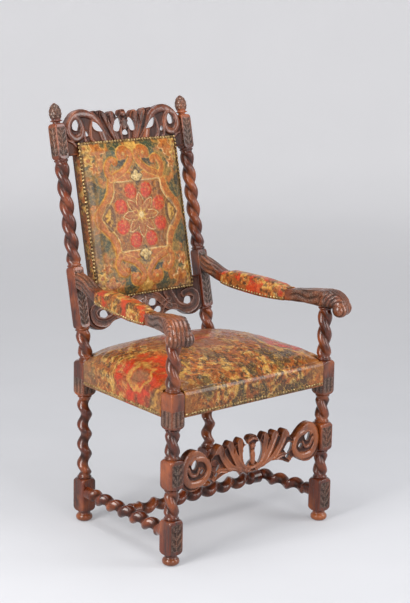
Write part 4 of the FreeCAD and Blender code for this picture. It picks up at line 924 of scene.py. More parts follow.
def scroll_outline():
    roll = [(ROLL_REACH + ROLL_RADIUS * math.cos(a), -ROLL_DROP + ROLL_RADIUS * math.sin(a))
            for a in np.linspace(0, -math.pi, 14)]
    arch = through([(-16, 50), (18, 52), (46, 44), (66, 24), (73, -3)], 8)
    return np.vstack([[(-16, 0)], arch, roll[1:], [(26, 0)]])


def scroll_profile(f, h):
    """Distance inside the scroll's outline, worked out on a flat grid and read between its points."""
    fs, hs = np.arange(-30, 90, PROFILE_CELL), np.arange(-36, 66, PROFILE_CELL)
    flat = inside_polygon(*np.meshgrid(fs, hs, indexing="ij"), scroll_outline())
    i = np.clip((f - fs[0]) / PROFILE_CELL, 0, len(fs) - 1.001)
    k = np.clip((h - hs[0]) / PROFILE_CELL, 0, len(hs) - 1.001) + 0 * f
    i0, k0 = i.astype(int), k.astype(int)
    s, t = i - i0, k - k0
    return ((flat[i0, k0] * (1 - s) + flat[i0 + 1, k0] * s) * (1 - t)
            + (flat[i0, k0 + 1] * (1 - s) + flat[i0 + 1, k0 + 1] * s) * t)


def arm_piece(word, side):
    """The wooden arm: swept body, carved leaves at both ends, and a reeded scroll."""
    axes, (gx, gy, gz) = lattice(((212, 382), (-318, ARM_BACK_Y + 6), (630, 776)), ARM_CELL)
    run = (ARM_BACK_Y - gy) / ARM_REACH
    middle, under, deep, wide, _ = arm_numbers(run)
    across, rise = gx - middle, gz - under - deep / 2
    qx, qz = np.abs(across) - wide + ARM_ROUND, np.abs(rise) - deep / 2 + ARM_ROUND
    body = ARM_ROUND - np.hypot(np.maximum(qx, 0), np.maximum(qz, 0)) - np.minimum(np.maximum(qx, qz), 0)
    leaf = arm_leaf(run)
    ribs = 0.5 + 0.5 * np.cos(np.arctan2(rise, across) * 9 + 1.5 * np.sin(gy / 13))
    body = body - leaf * 1.5 * (1 - ribs) + leaf * 0.5
    body = np.minimum(body, gy + LEG_Y + 18)

    # The scroll's own frame: f ahead along it, a across it, h up from the leg's top
    ahead = (math.sin(SCROLL_TURN), -math.cos(SCROLL_TURN))
    f = (gx - FRONT_X) * ahead[0] + (gy + LEG_Y) * ahead[1] + 0 * gz
    a = (gx - FRONT_X) * -ahead[1] + (gy + LEG_Y) * ahead[0] + 0 * gz
    h = gz - ARM_SEAT
    spin = np.arctan2(h + ROLL_DROP, f - ROLL_REACH)
    far = np.hypot(f - ROLL_REACH, h + ROLL_DROP)
    swept = a - 0.6 * np.clip(34 - f, 0, 55)
    reeds = 0.5 + 0.5 * np.cos(swept / SCROLL_HALF * math.pi * 5.6 + math.pi)
    profile = scroll_profile(f, h) - 1.7 * (1 - reeds) * step(f, -12, 8)
    curl = 0.5 + 0.5 * np.cos(2 * math.pi * far / 11 + spin)
    cheek = SCROLL_HALF - 2.2 * (1 - curl) * step(far, 14, 18) - np.abs(a)
    over, aside = SCROLL_SOFT - profile, SCROLL_SOFT - cheek
    scroll = np.where((over < 0) & (aside < 0), np.minimum(profile, cheek),
                      SCROLL_SOFT - np.hypot(np.maximum(over, 0), np.maximum(aside, 0)))
    scroll = soft_max(scroll, 23 - np.hypot(far, np.abs(a) - SCROLL_HALF + 15), 1.5)

    post = (LEG_Y + (gz - SEAT_TOP) * math.tan(RAKE) - TOP_HALF / math.cos(RAKE)) - gy
    field = np.maximum(np.minimum(body, post + 1.0), scroll)
    points, quads = surface_net(field, [axis[0] for axis in axes], ARM_CELL)
    at = cells_of(points, axes, ARM_CELL)
    leaf = arm_leaf((ARM_BACK_Y - points[:, 1]) / ARM_REACH)
    in_scroll = scroll[at] > body[at] - 2
    groove = np.maximum((1 - reeds[at]) ** 2 * (profile[at] < 5),
                        (1 - curl[at]) ** 2 * (far[at] > 15) * (cheek[at] < 4))
    # Hollow share, darkened as painted shade: the reeds, the curl's grooves and between the leaf ribs.
    hollow = np.where(in_scroll, groove * 0.75, leaf * (1 - ribs[at]) ** 2 * 0.8)
    carved = np.where(in_scroll, 0.5, leaf * 0.8)
    points[:, 0] *= side
    if side < 0:
        quads = quads[:, ::-1]
    add_piece(f"arm_wood_{word}", points, [quads], wood, (f"arm_{word}",),
              {"hollow": hollow, "carved": carved})


# Painted leather

ORANGE, DEEP_ORANGE, GOLD = colour(188, 104, 38), colour(156, 82, 32), colour(210, 160, 76)
PALE, RED, BROWN = colour(230, 202, 142), colour(200, 52, 18), colour(150, 88, 34)
UMBER, GREEN, OLIVE = colour(62, 40, 22), colour(58, 72, 50), colour(140, 110, 54)
DARK_GREEN, TAN, ROSE = colour(34, 42, 32), colour(138, 100, 66), colour(140, 70, 48)


def coats(paint, *layers):
    """Lay colours one over another, each with its share."""
    for share, tone in layers:
        paint = paint * (1 - share[..., None]) + np.array(tone) * share[..., None]
    return paint


def filled(value):
    return step(value, -1, 1)


def lined(value, half, soft=1.4):
    """Share of a line drawn where a value is 0."""
    return step(half - np.abs(value), 0, soft)


def veined(noise, half):
    """Thin threads where a noise passes its middle."""
    return 1 - np.clip(np.abs(noise - 0.5) / half, 0, 1)


def risen(rise, value, high, soft):
    return np.maximum(rise, high * step(value, -1, soft))


def discs(a, b, *ellipses):
    return np.maximum.reduce([disc(a, b, *ellipse) for ellipse in ellipses])


def path_distance(x, y, points):
    """Distance to a smooth open curve."""
    line = through(points, 6)
    return np.minimum.reduce([stretch(x, y, a, b)[1] for a, b in zip(line, line[1:])])


def rosette(paint, rise, x, y, reach):
    """Eight red petals round an eight-pointed star and a small gilt flower."""
    far, way = np.hypot(x, y), np.arctan2(y, x)
    slot = (way + math.pi / 8) % (math.pi / 4) - math.pi / 8
    share = np.abs(slot) / (math.pi / 8)
    star = reach * (0.38 + 0.48 * np.clip(1 - share, 0, 1) ** 0.75) - far
    inner = reach * (0.24 + 0.22 * np.clip(share, 0, 1) ** 1.4) - far
    gap = (way % (math.pi / 4)) - math.pi / 8
    petal_x, petal_y = far * np.cos(gap) - reach, far * np.sin(gap)
    petal = reach * 0.27 - np.hypot(petal_x * 0.92, petal_y * (1.0 - 0.2 * petal_x / reach))
    rib = lined(far * np.sin(slot), 2.0, 1.5) * step(star, 4, 8)
    flower = reach * (0.22 + 0.05 * np.cos(way * 8)) - far
    paint = coats(
        paint, (step(petal, -5, -3) * (1 - step(petal, -1.5, 0)) * 0.6, ORANGE), (filled(petal), RED),
        (filled(star), DEEP_ORANGE), (rib * 0.5, GOLD), (lined(star - 5, 3, 2) * 0.5, RED),
        (lined(inner, 2.0) * 0.9, GOLD), (lined(star, 2.6), PALE), (filled(flower), GOLD),
        (filled(reach * 0.12 - far), PALE))
    rise = np.maximum(risen(rise, petal, 0.9, 4), 1.1 * step(star, 0, 6))
    return paint, risen(rise, flower, 1.8, 6)


# Of a quarter of the back, in millimetres from its middle: the straps, the field's edge, the green
# fills (middle, half sizes, tone) and the corner flowers (middle, size, tone)
STRAPS = (
    [(30, 120), (60, 116), (96, 116), (104, 88), (116, 62), (136, 38), (154, 18), (161, 0)],
    [(96, 116), (74, 126), (48, 136), (26, 154), (10, 176), (16, 196), (34, 204), (52, 196), (54, 180)],
    [(96, 116), (108, 136), (104, 158), (88, 172), (74, 168)],
)
INNER_EDGE = [(0, 104), (40, 104), (88, 104), (92, 76), (104, 52), (124, 30), (141, 12), (147, 0)]
FILLS = ((62, 212, 30, 24, GREEN), (58, 168, 26, 17, DARK_GREEN), (160, 72, 34, 30, GREEN),
         (172, 96, 20, 20, DARK_GREEN), (62, 196, 24, 26, GREEN), (128, 196, 16, 14, GREEN))
FLOWERS = ((134, 206, 32, ORANGE), (168, 176, 20, GOLD), (150, 150, 20, ORANGE), (176, 214, 18, GOLD))


def back_pattern(x, z):
    """Paint, relief and rubbed share of the back's leather, whose rubbing on the left edge is a painted
    sheen; z is from the panel's middle.
    """
    a, b = np.abs(x), np.abs(z - 4)
    noise = rough_noise(x, z, 26, 3)
    paint = coats(np.zeros(x.shape + (3,)) + OLIVE, (step(noise, 0.4, 0.6) * 0.8, ORANGE),
                  (step(rough_noise(x, z, 15, 5), 0.52, 0.64) * 0.8, GREEN))
    rise = 0.5 * step(noise, 0.45, 0.55)
    for *ellipse, tone in FILLS:
        lobe = disc(a, b, *ellipse)
        paint = coats(paint, (step(lobe, -2, 2) * 0.92, tone))
        rise = rise * (1 - step(lobe, -2, 2) * 0.8)
    for cx, cz, size, tone in FLOWERS:
        far, way = np.hypot(a - cx, b - cz), np.arctan2(b - cz, a - cx)
        petals = size * (0.82 + 0.2 * np.cos(way * 5 + cx)) - far
        paint = coats(paint, (step(petals, -1, 2) * 0.9, tone),
                      (lined(petals - 3, 1.8, 1.5) * 0.7, PALE), (filled(size * 0.3 - far), DEEP_ORANGE))
        rise = risen(rise, petals, 1.2, 5)
    field = inside_polygon(a, b, np.vstack([through(INNER_EDGE, 6), [(-60, 0), (-60, 104)]]))
    in_field = step(field, 0, 4)
    scatter = step(rough_noise(x + 40, z, 11, 9), 0.5, 0.62) * in_field
    paint = coats(paint, (filled(field), BROWN), (scatter * 0.45, UMBER),
                  (step(rough_noise(x, z + 90, 7, 21), 0.6, 0.7) * in_field * 0.6, ORANGE))
    rise = np.where(field > 0, 0.1 + 0.4 * scatter, rise)
    flecks = step(rough_noise(x, z, 9, 31), 0.5, 0.66)
    for points, wide in zip(STRAPS, (12.5, 10.5, 10.5)):
        inward = wide - path_distance(a, b, points)
        paint = coats(paint, (filled(inward), ORANGE), (flecks * step(inward, 2, 4) * 0.5, DEEP_ORANGE),
                      (lined(inward, 2.4, 1.6) * 0.75, GOLD))
        rise = risen(rise, inward, 1.5, 3)
    knob = 17 - np.minimum(np.hypot(a - 38, b - 188), np.hypot(a - 74, b - 164) + 6)
    rise = risen(rise, knob, 2.2, 8)
    lily = discs(a, b, (0, 214, 9, 22), (12, 216, 9, 14))
    shell = discs(a, b, (0, 122, 9, 15), (12, 118, 10, 7), (0, 110, 12, 6))
    shield = 34 - np.abs(a) * 1.25 - np.abs(b - 119)
    niche = discs(a, b, (118, 0, 22, 44), (122, 0, 26, 14))
    fan = discs(a, b, (118, 0, 9, 26), (124, 8, 12, 7))
    paint = coats(
        paint, (filled(knob), ORANGE), (filled(knob - 12), GOLD), (filled(lily), GOLD),
        (lined(path_distance(a, b, INNER_EDGE), 1.8), PALE), (filled(shield) * 0.9, UMBER),
        (lined(shield, 1.6) * 0.7, GOLD), (filled(shell), PALE),
        (step(rough_noise(x, z, 5, 17), 0.56, 0.64) * step(shell, 1, 3), OLIVE),
        (filled(niche) * 0.6, UMBER), (lined(niche, 1.6) * 0.6, GOLD),
        (filled(fan) * step(rough_noise(x, z, 6, 8), 0.34, 0.46), GOLD))
    rise = risen(risen(rise, shell, 1.8, 5), fan, 1.2, 5)
    paint, rise = rosette(paint, rise, x, z - 4, 80)
    rim = np.minimum(PANEL_HALF - np.abs(x), (PANEL_HIGH - PANEL_LOW) / 2 - np.abs(z))
    paint = coats(paint, (step(14 - rim, 0, 3) * 0.75, UMBER),
                  (veined(rough_noise(x, z, 8, 55), 0.05) * 0.5, UMBER),
                  (step(rough_noise(x, z, 5, 91), 0.54, 0.66) * 0.35, GOLD))
    # Rubbed share: a painted sheen towards the left edge, and a little towards the lower edge.
    return paint, rise, step(-x, 120, 190) * 0.6 + step(-z, 180, 240) * 0.25


def flower_ground(p, seed, cell):
    """Loose all-over painting for the seat and the arms: gold scrolls over umber and orange."""
    warped = p + 26 * (solid_noise(p, 50, seed)[:, None] - 0.5)
    noise = solid_noise(warped, cell, seed + 1)
    dark = step(solid_noise(warped, cell * 0.55, seed + 2), 0.53, 0.6)
    veins = veined(solid_noise(warped, cell * 0.8, seed + 4), 0.022)
    fine = veined(solid_noise(warped, cell * 0.45, seed + 5), 0.03)
    paint = coats(
        np.zeros((len(p), 3)) + DEEP_ORANGE, (step(noise, 0.42, 0.5), ORANGE),
        (step(noise, 0.54, 0.6) * 0.9, GOLD), (dark * 0.85, UMBER), (veins * 0.75, GOLD),
        (fine * step(noise, 0.44, 0.56) * 0.8, PALE),
        (veined(solid_noise(p, 8, seed + 7), 0.04) * 0.7, UMBER))
    return paint, 0.3 + 0.9 * step(noise, 0.42, 0.58) - 0.5 * dark + 0.7 * veins


# Of the seat: middle, radii and how strongly each medallion is painted
MEDALLIONS = (((-262, -70, 500), (118, 118, 90), 0.92), ((262, -70, 500), (118, 118, 90), 0.92),
              ((0, 60, 560), (110, 90, 60), 0.55))


def seat_pattern(p):
    """Paint, relief and rubbed share of the seat's leather: a red medallion towards each side."""
    x, y, _ = p.T
    paint, rise = flower_ground(p, 40, 17)
    patches = step(solid_noise(p, 62, 61), 0.5, 0.57) * (0.25 + 0.75 * step(-y, 40, 170))
    paint = coats(paint, (patches * 0.75, DARK_GREEN),
                  (patches * veined(solid_noise(p, 15, 63), 0.03) * 0.9, GOLD))
    ragged = 0.5 * (solid_noise(p, 34, 71) - 0.5)
    mottled = 0.35 + 0.65 * step(solid_noise(p, 20, 73), 0.4, 0.54)
    for centre, radii, strong in MEDALLIONS:
        away = np.sqrt((((p - centre) / radii) ** 2).sum(axis=1)) + ragged
        paint = coats(
            paint, (step(1.0 - away, 0, 0.18) * mottled * strong, RED),
            (step(0.42 - away, 0, 0.12) * 0.75, TAN), (lined(away - 0.46, 0.07, 0.05) * 0.7, GOLD),
            (lined(away - 1.06, 0.06, 0.04) * 0.7, GOLD))
        rise = rise * (1 - 0.6 * step(1.1 - away, 0, 0.2)) + 0.7 * lined(away - 0.7, 0.12, 0.1)
    corner = step(-np.hypot(np.abs(x) - 290, y + 240), -110, -30)
    middle = step(1 - np.hypot(x / 260, (y - 50) / 210), 0, 0.6)
    back = step(y, 70, 210)
    paint = coats(paint, (corner * 0.5, ORANGE),
                  (middle * (0.15 + 0.6 * step(solid_noise(p, 50, 77), 0.42, 0.6)), ROSE),
                  (back * 0.6, TAN))
    return paint, rise * (1 - 0.5 * back), np.clip(middle * 0.35 + back * 0.6, 0, 1)


def arm_pattern(p):
    paint, rise = flower_ground(p, 90, 19)
    red = step(solid_noise(p, 30, 95), 0.55, 0.61)
    return coats(paint, (red * 0.75, RED)), rise, 0.1 + 0 * red


# Padded pieces

CLOTH = {"use_pressure": True, "uniform_pressure_force": 4, "quality": 4, "tension_stiffness": 25,
         "compression_stiffness": 25, "bending_stiffness": 1.5}
CLOTH_FRAMES = 20


def read_vectors(rows, field):
    """Rows of three from a mesh's vertices or their normals."""
    flat = np.empty(len(rows) * 3, np.float32)
    rows.foreach_get(field, flat)
    return flat.reshape(-1, 3).astype(float)


def write_points(mesh, metres):
    mesh.vertices.foreach_set("co", metres.astype(np.float32).ravel())
    mesh.update()


def evaluated_mesh(piece):
    graph = bpy.context.evaluated_depsgraph_get()
    return bpy.data.meshes.new_from_object(piece.evaluated_get(graph), depsgraph=graph)


def swell(piece, cap, hold):
    """Let the pad swell as cloth under pressure, moved by no more than the cap, and less where held."""
    rest = read_vectors(piece.data.vertices, "co")
    cloth = piece.modifiers.new("swell", "CLOTH")
    cloth.settings.effector_weights.gravity = 0
    for setting, value in CLOTH.items():
        setattr(cloth.settings, setting, value)
    cloth.point_cache.frame_start, cloth.point_cache.frame_end = 1, CLOTH_FRAMES
    for number in range(1, CLOTH_FRAMES + 1):
        scene.frame_set(number)
    moved = evaluated_mesh(piece)
    drift = read_vectors(moved.vertices, "co") - rest
    bpy.data.meshes.remove(moved)
    piece.modifiers.remove(cloth)
    scene.frame_set(1)
    size = np.linalg.norm(drift, axis=1)[:, None] + 1e-9
    drift *= np.minimum(1, cap * MM / size) * hold(rest)[:, None]
    write_points(piece.data, rest + drift)


def refine(piece):
    finer = piece.modifiers.new("finer", "SUBSURF")
    finer.levels = finer.render_levels = 1
    mesh = evaluated_mesh(piece)
    piece.modifiers.remove(finer)
    old = piece.data
    piece.data = mesh
    bpy.data.meshes.remove(old)


def emboss(piece, pattern, mask, strength=1.0):
    """Press the pattern into the leather and keep its colours as vertex values."""
    points = to_chair(read_vectors(piece.data.vertices, "co"))
    paint, rise, rubbed_and_sheen = pattern(points)
    normals = read_vectors(piece.data.vertex_normals, "vector")
    raised = points + normals * ((rise - 0.6) * strength * mask(points))[:, None]
    write_points(piece.data, to_frame(raised))
    store(piece.data, "paint", paint)
    store(piece.data, "rubbed_and_sheen", rubbed_and_sheen)


SEAT_SHARES = (
    (0.00, 0.12, 0.30), (0.04, 0.25, 0.65), (0.12, 0.48, 1.00), (0.28, 0.80, 1.00),
    (0.50, 1.00, 1.00), (0.72, 0.88, 1.00), (0.90, 0.54, 1.00), (1.00, 0.27, 0.60),
)
SEAT_CROWN, SEAT_CELL, SEAT_FLOOR, SEAT_INSET = 73.0, 5.0, RAIL_TOP + 5.5, 1.2
LEG_GAP = 3
SIDE_SLOPE = (FRONT_X - BACK_X) / (2 * LEG_Y - 2 * HALF)


def seat_half(y):
    return FRONT_X + HALF - (y + LEG_Y - HALF) * SIDE_SLOPE


def seat_hold(metres):
    """0 where the seat is held, at its lower edge and round the legs, and 1 where it swells."""
    p = to_chair(metres)
    x = np.abs(p[:, 0])
    corner = np.minimum(np.hypot(x - FRONT_X, p[:, 1] + LEG_Y), np.hypot(x - BACK_X, p[:, 1] - LEG_Y))
    return step(p[:, 2], SEAT_FLOOR + 3, SEAT_FLOOR + 22) * step(corner, 36, 60)


def seat_cushion():
    """The stuffed seat: crowned, with a soft edge, notched round the legs' blocks."""
    axes, (gx, gy, gz) = lattice(
        ((-335, 336), (-260, 261), (SEAT_FLOOR - 10, RAIL_TOP + 95)), SEAT_CELL)
    run = (gy + LEG_Y + HALF) / (2 * LEG_Y + 2 * HALF)
    table = through(SEAT_SHARES, 8)
    crown = np.interp(run, table[:, 0], table[:, 1]) * SEAT_CROWN
    wide = seat_half(gy) - SEAT_INSET
    share = np.clip(np.abs(gx) / wide, 0, 1.2)
    bulge = np.clip(1 - share ** 2.6, 0, 1) ** 0.72
    top = RAIL_TOP + 12 + (crown - 12) * bulge - SEAT_INSET + 3
    side = np.minimum(wide - np.abs(gx), LEG_Y + HALF - SEAT_INSET - np.abs(gy))
    field = soft_min(top - gz, side + 0 * gz, 24.0)
    field = np.minimum(field, gz - SEAT_FLOOR)
    for leg_x, sign in ((FRONT_X, -1), (BACK_X, 1)):
        notch = np.minimum(np.abs(gx) - (leg_x - HALF - LEG_GAP), sign * gy - (LEG_Y - HALF - LEG_GAP))
        field = np.minimum(field, -notch + 0 * gz)
    points, quads = surface_net(field, [axis[0] for axis in axes], SEAT_CELL)
    piece = add_piece("seat_cushion", points, [quads], seat_skin,
                      ("seat_stuffing", "seat_leather"))
    swell(piece, 7, seat_hold)
    refine(piece)
    emboss(piece, seat_pattern, lambda p: step(p[:, 2], SEAT_FLOOR + 2, SEAT_FLOOR + 10), 1.3)


def strip(name, inner, outer, material, pattern, nodes=()):
    """A thin closed strip of leather between two rows of points on each side."""
    grid = np.concatenate([outer, inner[:, ::-1]], axis=1)
    paint, _, rubbed_and_sheen = pattern(grid.reshape(-1, 3))
    layers = {"paint": paint.reshape(grid.shape), "rubbed_and_sheen": rubbed_and_sheen.reshape(grid.shape[:2])}
    return ring_piece(name, grid, material, nodes, layers)


BORDER_ROLL = 20.0


def border_strip(name, start, end, out):
    """Upright leather along a rail from start to end, rolled in at its top; out points away."""
    start, end, out = (np.array(v, float) for v in (start, end, out))
    z0, z1 = RAIL_TOP - RAIL_TALL + 2, RAIL_TOP + 13
    along = np.linspace(0, 1, int(np.linalg.norm(end - start) / 2.5))[:, None, None]
    up = np.linspace(0, 1, 30)[None, :, None]
    lift = np.array((0, 0, 1.0)) * (z0 + (z1 - z0) * up)
    over = np.clip((z1 - z0) * up - (z1 - z0) + 0.75 * BORDER_ROLL, 0, None) / BORDER_ROLL
    middle = start + (end - start) * along + lift - out * BORDER_ROLL * (1 - np.sqrt(1 - over ** 2))
    outer, inner = middle + out * 0.5, middle - out * 1.4
    if np.cross(end - start, out)[2] < 0:
        outer, inner = outer[::-1], inner[::-1]
    strip(name, inner, outer, seat_skin, seat_pattern)


def seat_borders():
    face = LEG_Y + HALF - 0.6
    reach = FRONT_X - HALF - 0.8
    border_strip("seat_border_front", (-reach, -face, 0), (reach, -face, 0), (0, -1, 0))
    reach = BACK_X - HALF - 0.8
    border_strip("seat_border_back", (reach, face, 0), (-reach, face, 0), (0, 1, 0))
    y1 = LEG_Y - HALF - 0.8
    for word, side in SIDES:
        start, end = ((side * (seat_half(y) - 0.6), y, 0) for y in (-y1, y1))
        out = np.array((side, SIDE_SLOPE, 0)) / math.hypot(1, SIDE_SLOPE)
        border_strip(f"seat_border_{word}", start, end, out)


PANEL_LOW, PANEL_HIGH, PANEL_HALF = 162.0, 642.0, 193.0
PANEL_MIDDLE = (PANEL_LOW + PANEL_HIGH) / 2
PANEL_CELL, PANEL_CROWN, FRAME_FRONT, SIDE_WRAP = 4.5, 14.0, -14.0, 20.0


def panel_rim(x, z):
    """Distance in from the back panel's edge."""
    return np.minimum(PANEL_HALF - np.abs(x), np.minimum(z - PANEL_LOW, PANEL_HIGH - z))


def unleaned(p):
    """From the chair's frame back to the leaning one."""
    dy, dz = p[:, 1] - LEG_Y, p[:, 2] - SEAT_TOP
    return np.stack([p[:, 0], dy * math.cos(RAKE) - dz * math.sin(RAKE),
                     dz * math.cos(RAKE) + dy * math.sin(RAKE)], axis=1)


def back_hold(metres):
    x, y, z = unleaned(to_chair(metres)).T
    return step(panel_rim(x, z), 14, 34) * step(FRAME_FRONT - y, 3, 7)


def back_painting(p):
    x, _, z = unleaned(p).T
    return back_pattern(x, z - PANEL_MIDDLE)


def back_cushion():
    """The stuffed back: a shallow crowned pad, nailed flat round its edge."""
    axes, (gx, gy, gz) = lattice(
        ((-200, 201), (-48, -8), (PANEL_LOW - 9, PANEL_HIGH + 10)), PANEL_CELL)
    rim = panel_rim(gx, gz) - 1
    sideways = np.clip(1 - (gx / PANEL_HALF) ** 2, 0, 1)
    upward = np.clip(1 - (np.abs(gz - PANEL_MIDDLE) / (PANEL_HIGH - PANEL_MIDDLE)) ** 2.2, 0, 1)
    face = FRAME_FRONT - 2.6 - 5.0 * step(rim, 3, 16) - PANEL_CROWN * sideways ** 0.7 * upward ** 0.8
    field = soft_min(gy - face, rim + 0 * gy, 4.0)
    field = np.minimum(field, FRAME_FRONT - 0.4 - gy)
    points, quads = surface_net(field, [axis[0] for axis in axes], PANEL_CELL)
    piece = add_piece("back_cushion", leaned(points), [quads], back_skin,
                      ("back_stuffing", "back_leather"))
    swell(piece, 5, back_hold)
    refine(piece)
    emboss(piece, back_painting, lambda p: step(FRAME_FRONT - unleaned(p)[:, 1], 2, 4))


def edge_painting(p):
    paint, rise = flower_ground(p, 150, 18)
    even = 0 * p[:, 0]
    return coats(paint, (0.25 + even, UMBER)), rise, 0.1 + even


def back_edges():
    """The leather's turned sides, wrapped round the panel's frame."""
    z = np.linspace(200, 601, 160)[:, None]
    y = np.linspace(FRAME_FRONT - 4, FRAME_FRONT + SIDE_WRAP, 14)[None, :]
    for word, side in SIDES:
        outer = np.stack([side * (PANEL_HALF - 0.1) + 0 * (z + y), y + 0 * z, z + 0 * y], axis=-1)
        inner = outer - (side * 1.9, 0, 0)
        if side < 0:
            outer, inner = outer[:, ::-1], inner[:, ::-1]
        strip(f"back_edge_{word}", leaned(inner), leaned(outer), back_skin,
              edge_painting)


def arm_cover(word, side):
    """Leather over the arm's padding, down both sides of the wood to its lower edge."""
    run = np.linspace(*PAD_SPAN, 110)[:, None]
    turn = np.linspace(0, 1, 56) * math.pi
    middle, under, deep, wide, crown = arm_numbers(run)
    crown = crown * ease(np.minimum(run - PAD_SPAN[0], PAD_SPAN[1] - run) / 0.06)
    x = np.cos(turn)
    skins = []
    for skin in (0.5 + LEATHER, 0.5):
        flat_x = np.sign(x) * np.abs(x) ** 0.45 * (wide + skin)
        lift = np.sin(turn) ** 0.62 * (deep + crown + skin)
        skins.append(np.stack([flat_x + middle, 0 * x + ARM_BACK_Y - run * ARM_REACH,
                               under + 1.0 + lift], axis=-1) * (side, 1, 1))
    outer, inner = skins if side > 0 else skins[::-1]
    piece = strip(f"arm_pad_{word}", inner, outer, arm_skin,
                  lambda p: arm_pattern(p * (side, 1, 1)),
                  (f"arm_stuffing_{word}", f"arm_leather_{word}"))


# Domed nails

NAIL_RADIUS, NAIL_PITCH, NAIL_DOME = 4.4, 10.8, 0.65


def nail_tree():
    """Geometry nodes: a dome on every point, turned to the point's own direction."""
    tree = Tree(bpy.data.node_groups.new("Domed nails", "GeometryNodeTree"))
    for label, kind in (("Points", "Geometry"), ("Radius", "Float"), ("Dome", "Float"), ("Seed", "Int"),
                        ("Finish", "Material"), ("Nails", "Geometry")):
        way = "OUTPUT" if label == "Nails" else "INPUT"
        tree.tree.interface.new_socket(label, in_out=way, socket_type="NodeSocket" + kind)
    given = tree.put("NodeGroupInput").outputs

    def made(kind, inputs, **settings):
        return tree.put(kind, inputs, **settings).outputs[0]

    ball = made("GeometryNodeMeshUVSphere", {"Segments": 8, "Rings": 5, "Radius": given["Radius"]})
    squash = made("ShaderNodeCombineXYZ", {0: 1.0, 1: 1.0, 2: given["Dome"]})
    dome = made("GeometryNodeTransform", {"Geometry": ball, "Scale": squash})
    way = made("GeometryNodeInputNamedAttribute", {"Name": "way"}, data_type="FLOAT_VECTOR")
    turn = made("FunctionNodeAlignRotationToVector", {"Vector": way}, axis="Z")
    uneven = tree.put("FunctionNodeRandomValue", {2: 0.92, 3: 1.08, "Seed": given["Seed"]},
                      data_type="FLOAT").outputs[1]
    dots = made("GeometryNodeMeshToPoints", {"Mesh": given["Points"]})
    set_out = made("GeometryNodeInstanceOnPoints",
                   {"Points": dots, "Instance": dome, "Rotation": turn, "Scale": uneven})
    smooth = made("GeometryNodeSetShadeSmooth",
                  {0: made("GeometryNodeRealizeInstances", {"Geometry": set_out})})
    done = made("GeometryNodeSetMaterial", {"Geometry": smooth, "Material": given["Finish"]})
    tree.put("NodeGroupOutput", {"Nails": done})
    return tree.tree


NAILS = nail_tree()


def facing(points, way):
    return points, np.repeat(np.array(way, float)[None], len(points), axis=0)


def nail_row(start, end, way):
    start, end = np.array(start, float), np.array(end, float)
    count = max(2, round(np.linalg.norm(end - start) / NAIL_PITCH) + 1)
    return facing(start + (end - start) * np.linspace(0, 1, count)[:, None], way)


def lean_row(start, end, way):
    points, ways = nail_row(start, end, way)
    return leaned(points), leaned(ways) - leaned(np.zeros(3))


def nail_piece(name, rows, seed):
    """One mesh of every nail in some rows, made by the node tree."""
    points, ways = (np.vstack(part) for part in zip(*rows))
    mesh = bpy.data.meshes.new(name + "_places")
    mesh.vertices.add(len(points))
    mesh.vertices.foreach_set("co", to_frame(points).ravel())
    mesh.attributes.new("way", "FLOAT_VECTOR", "POINT").data.foreach_set("vector", ways.ravel())
    piece = linked(name, mesh)
    maker = piece.modifiers.new("nails", "NODES")
    maker.node_group = NAILS
    values = {"Radius": NAIL_RADIUS * MM, "Dome": NAIL_DOME, "Seed": seed, "Finish": brass}
    for item in NAILS.interface.items_tree:
        if item.name in values:
            maker[item.identifier] = values[item.name]
    piece.data = evaluated_mesh(piece)
    piece.modifiers.remove(maker)
    bpy.data.meshes.remove(mesh)
    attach(piece, "root")


def all_nails():
    z, face, y1 = RAIL_TOP - RAIL_TALL + 9, LEG_Y + HALF + 0.2, LEG_Y - HALF - 6
    slope = math.hypot(1, SIDE_SLOPE)
    rows = []
    for x, out in ((FRONT_X - HALF - 6, -1), (BACK_X - HALF - 6, 1)):
        rows.append(nail_row((-x, out * face, z), (x, out * face, z), (0, out, 0)))
    for _, side in SIDES:
        rows.append(nail_row((side * seat_half(-y1), -y1, z), (side * seat_half(y1), y1, z),
                             (side / slope, SIDE_SLOPE / slope, 0)))
    nail_piece("seat_nails", rows, 1)

    y, x, far_x, rows = FRAME_FRONT - 4.2, PANEL_HALF - 6, PANEL_HALF - 4, []
    for z in (PANEL_LOW + 7, PANEL_HIGH - 7):
        rows.append(lean_row((-x, y, z), (x, y, z), (0, -1, 0)))
    for side in (-1, 1):
        rows.append(lean_row((side * far_x, y - 1.5, PANEL_LOW + 18),
                             (side * far_x, y - 1.5, PANEL_HIGH - 18), (side * 0.5, -0.87, 0)))
    nail_piece("back_nails", rows, 2)

    y, x, low_z, high_z = -FRAME_FRONT + LEATHER, PANEL_HALF - 9, PANEL_LOW + 14, PANEL_HIGH - 14
    rows = [lean_row((-x, y, z), (x, y, z), (0, 1, 0)) for z in (low_z, high_z)]
    rows += [lean_row((at, y, low_z + 12), (at, y, high_z - 12), (0, 1, 0)) for at in (-x, x)]
    nail_piece("back_outer_nails", rows, 3)

    runs = np.linspace(PAD_SPAN[0] + 0.012, PAD_SPAN[1] - 0.012, 24)
    middle, under, _, wide, _ = arm_numbers(runs)
    for word, side in SIDES:
        rows = [facing(np.stack([side * (middle + way * (wide + 2.2)), ARM_BACK_Y - runs * ARM_REACH,
                                 under + 6.5], axis=1), (way * side, 0, 0)) for way in (-1, 1)]
        nail_piece(f"arm_nails_{word}", rows, 4 + (side > 0))


# Carried-over solids

def dress_cad():
    planed = ["seat_rail_front", "seat_rail_back"] + [
        f"{node}_{word}" for word, _ in SIDES
        for node in ("seat_rail", "seat_brace_front", "seat_brace_back", "back_stile")]
    for look, nodes in (
            (cover_skin, ["back_outer_cover"]), (hessian, ["seat_base_cloth", "back_base_cloth"]),
            (jute, ["seat_webbing_long", "seat_webbing_cross", "back_webbing"]), (plain_wood, planed)):
        for node in nodes:
            for slot in bpy.data.objects[node].material_slots:
                slot.material = look


# Studio: a round floor of paper, bent up into a wall. Metres.

